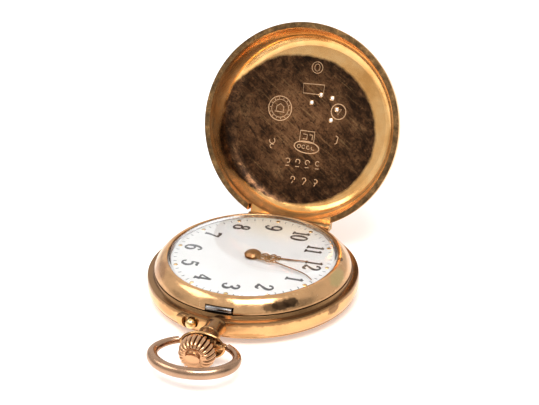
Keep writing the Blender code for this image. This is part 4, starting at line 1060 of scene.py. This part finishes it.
# Digit strokes as (across, up, half width), as shares of the digit's height
DIGITS = {
    "0": [oval(0.30, 0.50, 0.23, 0.48, 0.075, 0.016)],
    "1": [[(0.30, 0.01, 0.055), (0.30, 0.98, 0.055)], [(0.32, 0.97, 0.03), (0.22, 0.88, 0.018),
                                                       (0.12, 0.84, 0.010)],
          [(0.13, 0.015, 0.018), (0.47, 0.015, 0.018)]],
    "2": [[(0.12, 0.72, 0.065), (0.10, 0.82, 0.04), (0.17, 0.93, 0.025), (0.29, 0.98, 0.02),
           (0.44, 0.90, 0.05),
           (0.49, 0.74, 0.068), (0.42, 0.55, 0.055), (0.24, 0.30, 0.028), (0.07, 0.06, 0.018)],
          [(0.06, 0.05, 0.02), (0.18, 0.10, 0.045), (0.36, 0.05, 0.055), (0.49, 0.08, 0.03),
           (0.54, 0.24, 0.014)]],
    "3": [[(0.11, 0.78, 0.06), (0.14, 0.92, 0.03), (0.27, 0.98, 0.02), (0.42, 0.90, 0.05),
           (0.45, 0.76, 0.062),
           (0.37, 0.60, 0.035), (0.22, 0.54, 0.015)],
          [(0.22, 0.54, 0.015), (0.41, 0.49, 0.04), (0.51, 0.30, 0.072), (0.43, 0.10, 0.05),
           (0.26, 0.015, 0.02),
           (0.13, 0.07, 0.035), (0.09, 0.20, 0.06)]],
    "4": [[(0.42, 0.98, 0.02), (0.22, 0.62, 0.018), (0.03, 0.29, 0.016)], [(0.03, 0.28, 0.022),
                                                                           (0.56, 0.28, 0.022)],
          [(0.41, 0.97, 0.055), (0.41, 0.01, 0.055)], [(0.27, 0.015, 0.018), (0.55, 0.015, 0.018)]],
    "5": [[(0.13, 0.94, 0.035), (0.34, 0.91, 0.05), (0.50, 0.98, 0.012)], [(0.13, 0.96, 0.018),
                                                                           (0.10, 0.54, 0.016)],
          [(0.10, 0.54, 0.016), (0.24, 0.62, 0.03), (0.42, 0.57, 0.055), (0.51, 0.35, 0.075),
           (0.43, 0.12, 0.05),
           (0.26, 0.015, 0.02), (0.13, 0.07, 0.035), (0.09, 0.20, 0.06)]],
    "6": [SIX],
    "7": [[(0.06, 0.77, 0.012), (0.10, 0.93, 0.05), (0.28, 0.92, 0.055), (0.43, 0.90, 0.035),
           (0.55, 0.97, 0.012)],
          [(0.54, 0.95, 0.014), (0.40, 0.62, 0.03), (0.29, 0.30, 0.055), (0.26, 0.03, 0.075)]],
    "8": [oval(0.30, 0.76, 0.16, 0.205, 0.055, 0.022), oval(0.30, 0.27, 0.21, 0.25, 0.068, 0.018)],
    "9": [[(0.60 - x, 1.0 - y, half) for x, y, half in SIX]],
}
DIGIT_WIDTH = {"1": 0.46}


def make_numerals():
    shape = bmesh.new()
    for hour in range(1, 13):
        text = str(hour)
        widths = [DIGIT_WIDTH.get(c, 0.58) for c in text]
        centre_x, centre_y = step_from((0.0, 0.0), NUMERAL_RADIUS, minute_angle(5 * hour))
        across = -sum(widths) / 2
        for c, width in zip(text, widths):
            shift = across + (width - 0.60) / 2
            for points in DIGITS[c]:
                placed = []
                for u, v, half in points:
                    right = (u + shift) * NUMERAL_HEIGHT
                    above = (v - 0.5) * NUMERAL_HEIGHT
                    placed.append((centre_x + above, centre_y - right, (0.042 + half) * NUMERAL_HEIGHT))
                stroke(shape, placed, DIAL_TOP - 0.01, DIAL_TOP + INK, per=4)
            across += width
    finish(loose(shape), "numerals", ink, "case")


def mirrored_scroll(shape, points, low, high, ridge):
    for side in (-1, 1):
        stroke(shape, [(x, side * 1.3 * y, 1.2 * half) for x, y, half in points], low, high, ridge=ridge)


def turn_hand(shape, degrees):
    bmesh.ops.transform(shape, matrix=rotation(degrees), verts=shape.verts)


def make_hour_hand():
    low, high, ridge = 6.68, 6.78, 0.03
    shape = bmesh.new()
    ring_stroke(shape, (0, 0), 1.04, 0.26, low, high, 32, ridge=ridge)
    mirrored_scroll(shape, [(1.15, 0.25, 0.12), (1.6, 0.62, 0.13), (2.15, 0.70, 0.12), (2.55, 0.40, 0.10),
                            (2.35, 0.14, 0.09), (2.05, 0.24, 0.07)], low, high, ridge)
    mirrored_scroll(shape, [(2.45, 0.12, 0.10), (2.8, 0.42, 0.11), (3.2, 0.72, 0.10), (3.62, 0.62, 0.09),
                            (3.6, 0.40, 0.07), (3.4, 0.42, 0.05)], low, high, ridge)
    ring_stroke(shape, (3.35, 0), 0.36, 0.11, low, high, 16, ridge=ridge)
    mirrored_scroll(shape, [(3.7, 0.1, 0.10), (4.05, 0.42, 0.09), (4.45, 0.36, 0.08), (4.5, 0.16, 0.07)],
                    low, high, ridge)
    stroke(shape, [(1.2, 0, 0.16), (2.2, 0, 0.10), (3.0, 0, 0.10)], low, high, ridge=ridge)
    stroke(shape, [(3.7, 0, 0.12), (4.6, 0, 0.24), (5.0, 0, 0.16), (5.4, 0, 0.2), (7.4, 0, 0.13),
                   (9.0, 0, 0.07)],
           low, high, ridge=ridge)
    turn_hand(shape, HOUR_HAND_ANGLE)
    finish(loose(shape), "hour_hand_scrolled", hand_gold, "hour", ["hour_hand"])


def make_minute_hand():
    low, high, ridge = 6.98, 7.06, 0.02
    shape = bmesh.new()
    mirrored_scroll(shape, [(1.1, 0.22, 0.10), (1.7, 0.50, 0.11), (2.3, 0.56, 0.10), (2.7, 0.30, 0.08),
                            (2.5, 0.10, 0.07)], low, high, ridge)
    mirrored_scroll(shape, [(2.6, 0.10, 0.09), (3.1, 0.38, 0.10), (3.6, 0.50, 0.09), (4.0, 0.34, 0.07),
                            (3.85, 0.18, 0.05)], low, high, ridge)
    ring_stroke(shape, (4.35, 0), 0.30, 0.09, low, high, 16, ridge=ridge)
    stroke(shape, [(1.2, 0, 0.13), (2.6, 0, 0.09), (4.05, 0, 0.08)], low, high, ridge=ridge)
    stroke(shape, [(4.65, 0, 0.10), (5.1, 0, 0.17), (5.5, 0, 0.11), (5.9, 0, 0.15), (9.0, 0, 0.13),
                   (11.0, -0.1, 0.11),
                   (12.2, -0.35, 0.08)], low, high, ridge=ridge)
    for vert in shape.verts:
        past = max(0.0, vert.co.x / MM - MINUTE_DROOP_START)
        vert.co.z -= MINUTE_DROOP * past * past * MM
    turn_hand(shape, MINUTE_HAND_ANGLE)
    dome = curved([(0, 7.64), (0.45, 7.58), (0.85, 7.42), (1.15, 7.2), (1.33, 7.03)])
    dome += [(1.33, 6.98), (0.53, 6.98), (0.53, 7.1), (0, 7.1)]
    boss = turned(dome, 64, closed=False)
    mesh = bpy.data.meshes.new("boss")
    bmesh.ops.recalc_face_normals(boss, faces=boss.faces)
    for face in boss.faces:
        face.material_index = 1
    boss.to_mesh(mesh)
    boss.free()
    shape.from_mesh(mesh)
    finish(loose(shape), "minute_hand_scrolled", [hand_gold, boss_gold], "minute", ["minute_hand"])


# Punch marks inside the lid: plain frames, and short curves that stand for no letter or figure

def make_marks():
    shape = bmesh.new()
    height = LID_FLOOR + 0.01

    def loop(cx, cy, rx, ry, radius):
        angles = [2 * math.pi * k / 40 for k in range(40)]
        points = [(cx + rx * math.cos(a), cy + ry * math.sin(a), height) for a in angles]
        wire_mesh(shape, points, radius, 6, closed=True)

    def line(points, radius=0.075, closed=False):
        wire_mesh(shape, [(x, y, height) for x, y in points], radius, 6, closed=closed)

    def hook(x, y, size, turns, radius=0.085):
        """A short punched curve."""
        start, end = turns
        line([step_from((x, y), size, start + (end - start) * k / 7) for k in range(8)], radius)

    ring = (-5.74, -1.7)
    loop(*ring, 2.05, 2.05, 0.095)
    loop(*ring, 1.5, 1.5, 0.06)
    for k in range(14):
        line([step_from(ring, 1.62, 360.0 * k / 14), step_from(ring, 1.86, 360.0 * k / 14)], 0.07)
    line([(-6.6, -1.1), (-4.9, -1.15)])
    line([(-6.4, -1.3), (-6.35, -2.0), (-5.74, -2.5), (-5.1, -2.05), (-5.1, -1.3)])
    line([(-2.31, -6.56), (1.4, -6.88), (1.4, -5.19), (-2.11, -4.97)], 0.085, closed=True)
    loop(-0.37, -9.55, 0.95, 0.95, 0.06)
    loop(-0.37, -9.55, 0.45, 0.6, 0.05)
    loop(4.54, -2.93, 1.28, 1.28, 0.09)
    line([(4.0, -3.3), (5.0, -3.4), (4.5, -2.4)], 0.07, closed=True)
    line([(-1.48, 1.28), (1.05, 1.15), (1.13, 3.1), (-1.42, 3.15)], 0.09, closed=True)
    line([(-0.9, 1.8), (-0.2, 1.8), (-0.2, 2.6), (-0.9, 2.6)], 0.08)
    line([(0.2, 1.75), (0.75, 1.75), (0.75, 2.55)], 0.08)
    loop(0.0, 3.93, 2.2, 0.98, 0.095)
    for x in (-1.35, -0.55, 0.3, 1.15):
        hook(x, 3.93, 0.3, (30.0, 300.0 - 60.0 * x), 0.07)
    hook(-6.2, 3.9, 0.5, (-60.0, 200.0))
    hook(-6.1, 4.8, 0.35, (90.0, 320.0))
    line([(4.8, 1.1), (5.2, 1.3), (5.1, 2.3), (4.8, 2.5)], 0.09)
    for i, x in enumerate((-2.9, -1.1, 0.6, 2.4)):
        y = 6.95 - 0.12 * i
        hook(x, y - 0.28, 0.38, (200.0 - 50.0 * i, 460.0 - 50.0 * i))
        line([(x - 0.3, y + 0.62), (x + 0.35, y + 0.55)], 0.08)
    for i, x in enumerate((-1.5, 0.5, 2.5)):
        y = 9.7 - 0.1 * i
        hook(x, y - 0.2, 0.34, (150.0 + 40.0 * i, 400.0 + 40.0 * i))
        line([(x + 0.1, y + 0.2), (x - 0.1, y + 0.62)], 0.08)
    finish(swing_open(loose(shape)), "punch_marks", mark_gold, "lid")


def carry_over():
    """CAD nodes that keep their shape get their finish here."""
    finishes = (
        (steel, ("winding_stem", "push_sleeve", "escape_wheel", "balance_staff", "regulator", "barrel_arbor",
                 "ratchet_wheel", "crown_wheel", "click", "winding_pinion", "sliding_pinion", "yoke",
                 "setting_wheel", "cannon_pinion")),
        (blued, ("mainspring", "lift_spring", "case_screw_1", "case_screw_2", "hairspring", "click_spring",
                 "yoke_spring")),
        (gilt, ("main_plate", "barrel_bridge", "centre_cock", "third_cock", "fourth_cock", "escape_cock",
                "balance_cock")),
        (wheel_brass, ("barrel", "barrel_cover", "centre_wheel", "third_wheel", "fourth_wheel",
                       "minute_wheel", "hour_wheel")),
        (cover_gold, ("balance_wheel",)),
    )
    for material, names in finishes:
        for name in names:
            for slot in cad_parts[name].material_slots:
                slot.material = material


# Stage, light and camera

def make_stage():
    shape = bmesh.new()
    bmesh.ops.create_circle(shape, cap_ends=True, segments=96, radius=FLOOR_RADIUS)
    mesh = bpy.data.meshes.new("floor")
    shape.to_mesh(mesh)
    shape.free()
    floor = bpy.data.objects.new("floor", mesh)
    floor.location.z = -FLOOR_DROP
    bpy.context.scene.collection.objects.link(floor)
    material, tree, shader, pale = uneven("floor_white", 40.0, 2.0, (0.93, 0.93, 0.93), (0.95, 0.95, 0.95))
    # Painted reflected light: the floor warmer round the case, standing for light thrown off the gold
    near_case = distance_from(tree, (2.0, -2.0, 0.0), (30.0, 34.0, 9.0))
    painted_warm_glow = map_range(tree, near_case, 0.6, 1.3, 1.0, 0.0, smooth=True)
    feed(tree, shader, {"Base Color": mixed(tree, painted_warm_glow, pale, (1.0, 0.93, 0.87, 1.0)),
                        "Emission Color": (1.0, 0.975, 0.95, 1.0), "Emission Strength": FLOOR_GLOW,
                        "Roughness": 0.2, "Specular IOR Level": 0.5})
    mesh.materials.append(material)


def toward(azimuth, elevation):
    """The direction at an azimuth from -Y towards +X, and an elevation, in degrees."""
    a, e = math.radians(azimuth), math.radians(elevation)
    return Vector((math.sin(a) * math.cos(e), -math.cos(a) * math.cos(e), math.sin(e)))


def make_world():
    """A white studio whose walls are darker in a few soft places."""
    world = bpy.data.worlds.new("studio")
    bpy.context.scene.world = world
    world.use_nodes = True
    tree = world.node_tree
    coords = add_node(tree, "ShaderNodeTexCoord")
    light = (WALL_TONE, WALL_TONE, WALL_TONE, 1.0)
    for azimuth, elevation, inner, outer, shade in WALLS:
        inputs = {0: coords.outputs["Generated"], 1: toward(azimuth, elevation)}
        dot = add_node(tree, "ShaderNodeVectorMath", inputs, operation="DOT_PRODUCT")
        mask = map_range(tree, dot.outputs["Value"], math.cos(math.radians(outer)),
                         math.cos(math.radians(inner)), 0.0, 1.0, smooth=True)
        light = mixed(tree, mask, light, (shade, shade, shade, 1.0))
    feed(tree, tree.nodes["Background"], {"Color": light})


def add_softbox(name, azimuth, elevation, distance, size, power):
    data = bpy.data.lights.new(name, "AREA")
    data.shape = "RECTANGLE"
    data.size = size[0]
    data.size_y = size[1]
    data.energy = power
    box = bpy.data.objects.new(name, data)
    direction = toward(azimuth, elevation)
    box.location = direction * distance
    box.rotation_euler = direction.to_track_quat("Z", "Y").to_euler()
    bpy.context.scene.collection.objects.link(box)


def make_camera():
    data = bpy.data.cameras.new("camera")
    data.lens = CAMERA_LENS
    data.clip_start = 0.01
    data.clip_end = 20.0
    camera = bpy.data.objects.new("camera", data)
    aim = Euler((math.radians(90.0 - CAMERA_ELEVATION), 0.0, math.radians(CAMERA_AZIMUTH)))
    place = Matrix.Translation(Vector(CAMERA_PLACE) * MM)
    camera.matrix_world = place @ aim.to_matrix().to_4x4() @ rotation(CAMERA_ROLL)
    bpy.context.scene.collection.objects.link(camera)
    bpy.context.scene.camera = camera


make_camera()
make_case_middle()
make_bezel()
make_crystal()
make_front_lid()
make_stones()
make_pins()
make_back_cover()
make_cuvette()
make_pendant()
make_bow()
make_crown()
make_catch()
make_set_pin()
make_dial()
make_track()
make_numerals()
make_hour_hand()
make_minute_hand()
make_marks()
carry_over()
make_stage()
make_world()
for softbox in SOFTBOXES:
    add_softbox(*softbox)
bpy.context.scene.view_settings.view_transform = "Standard"
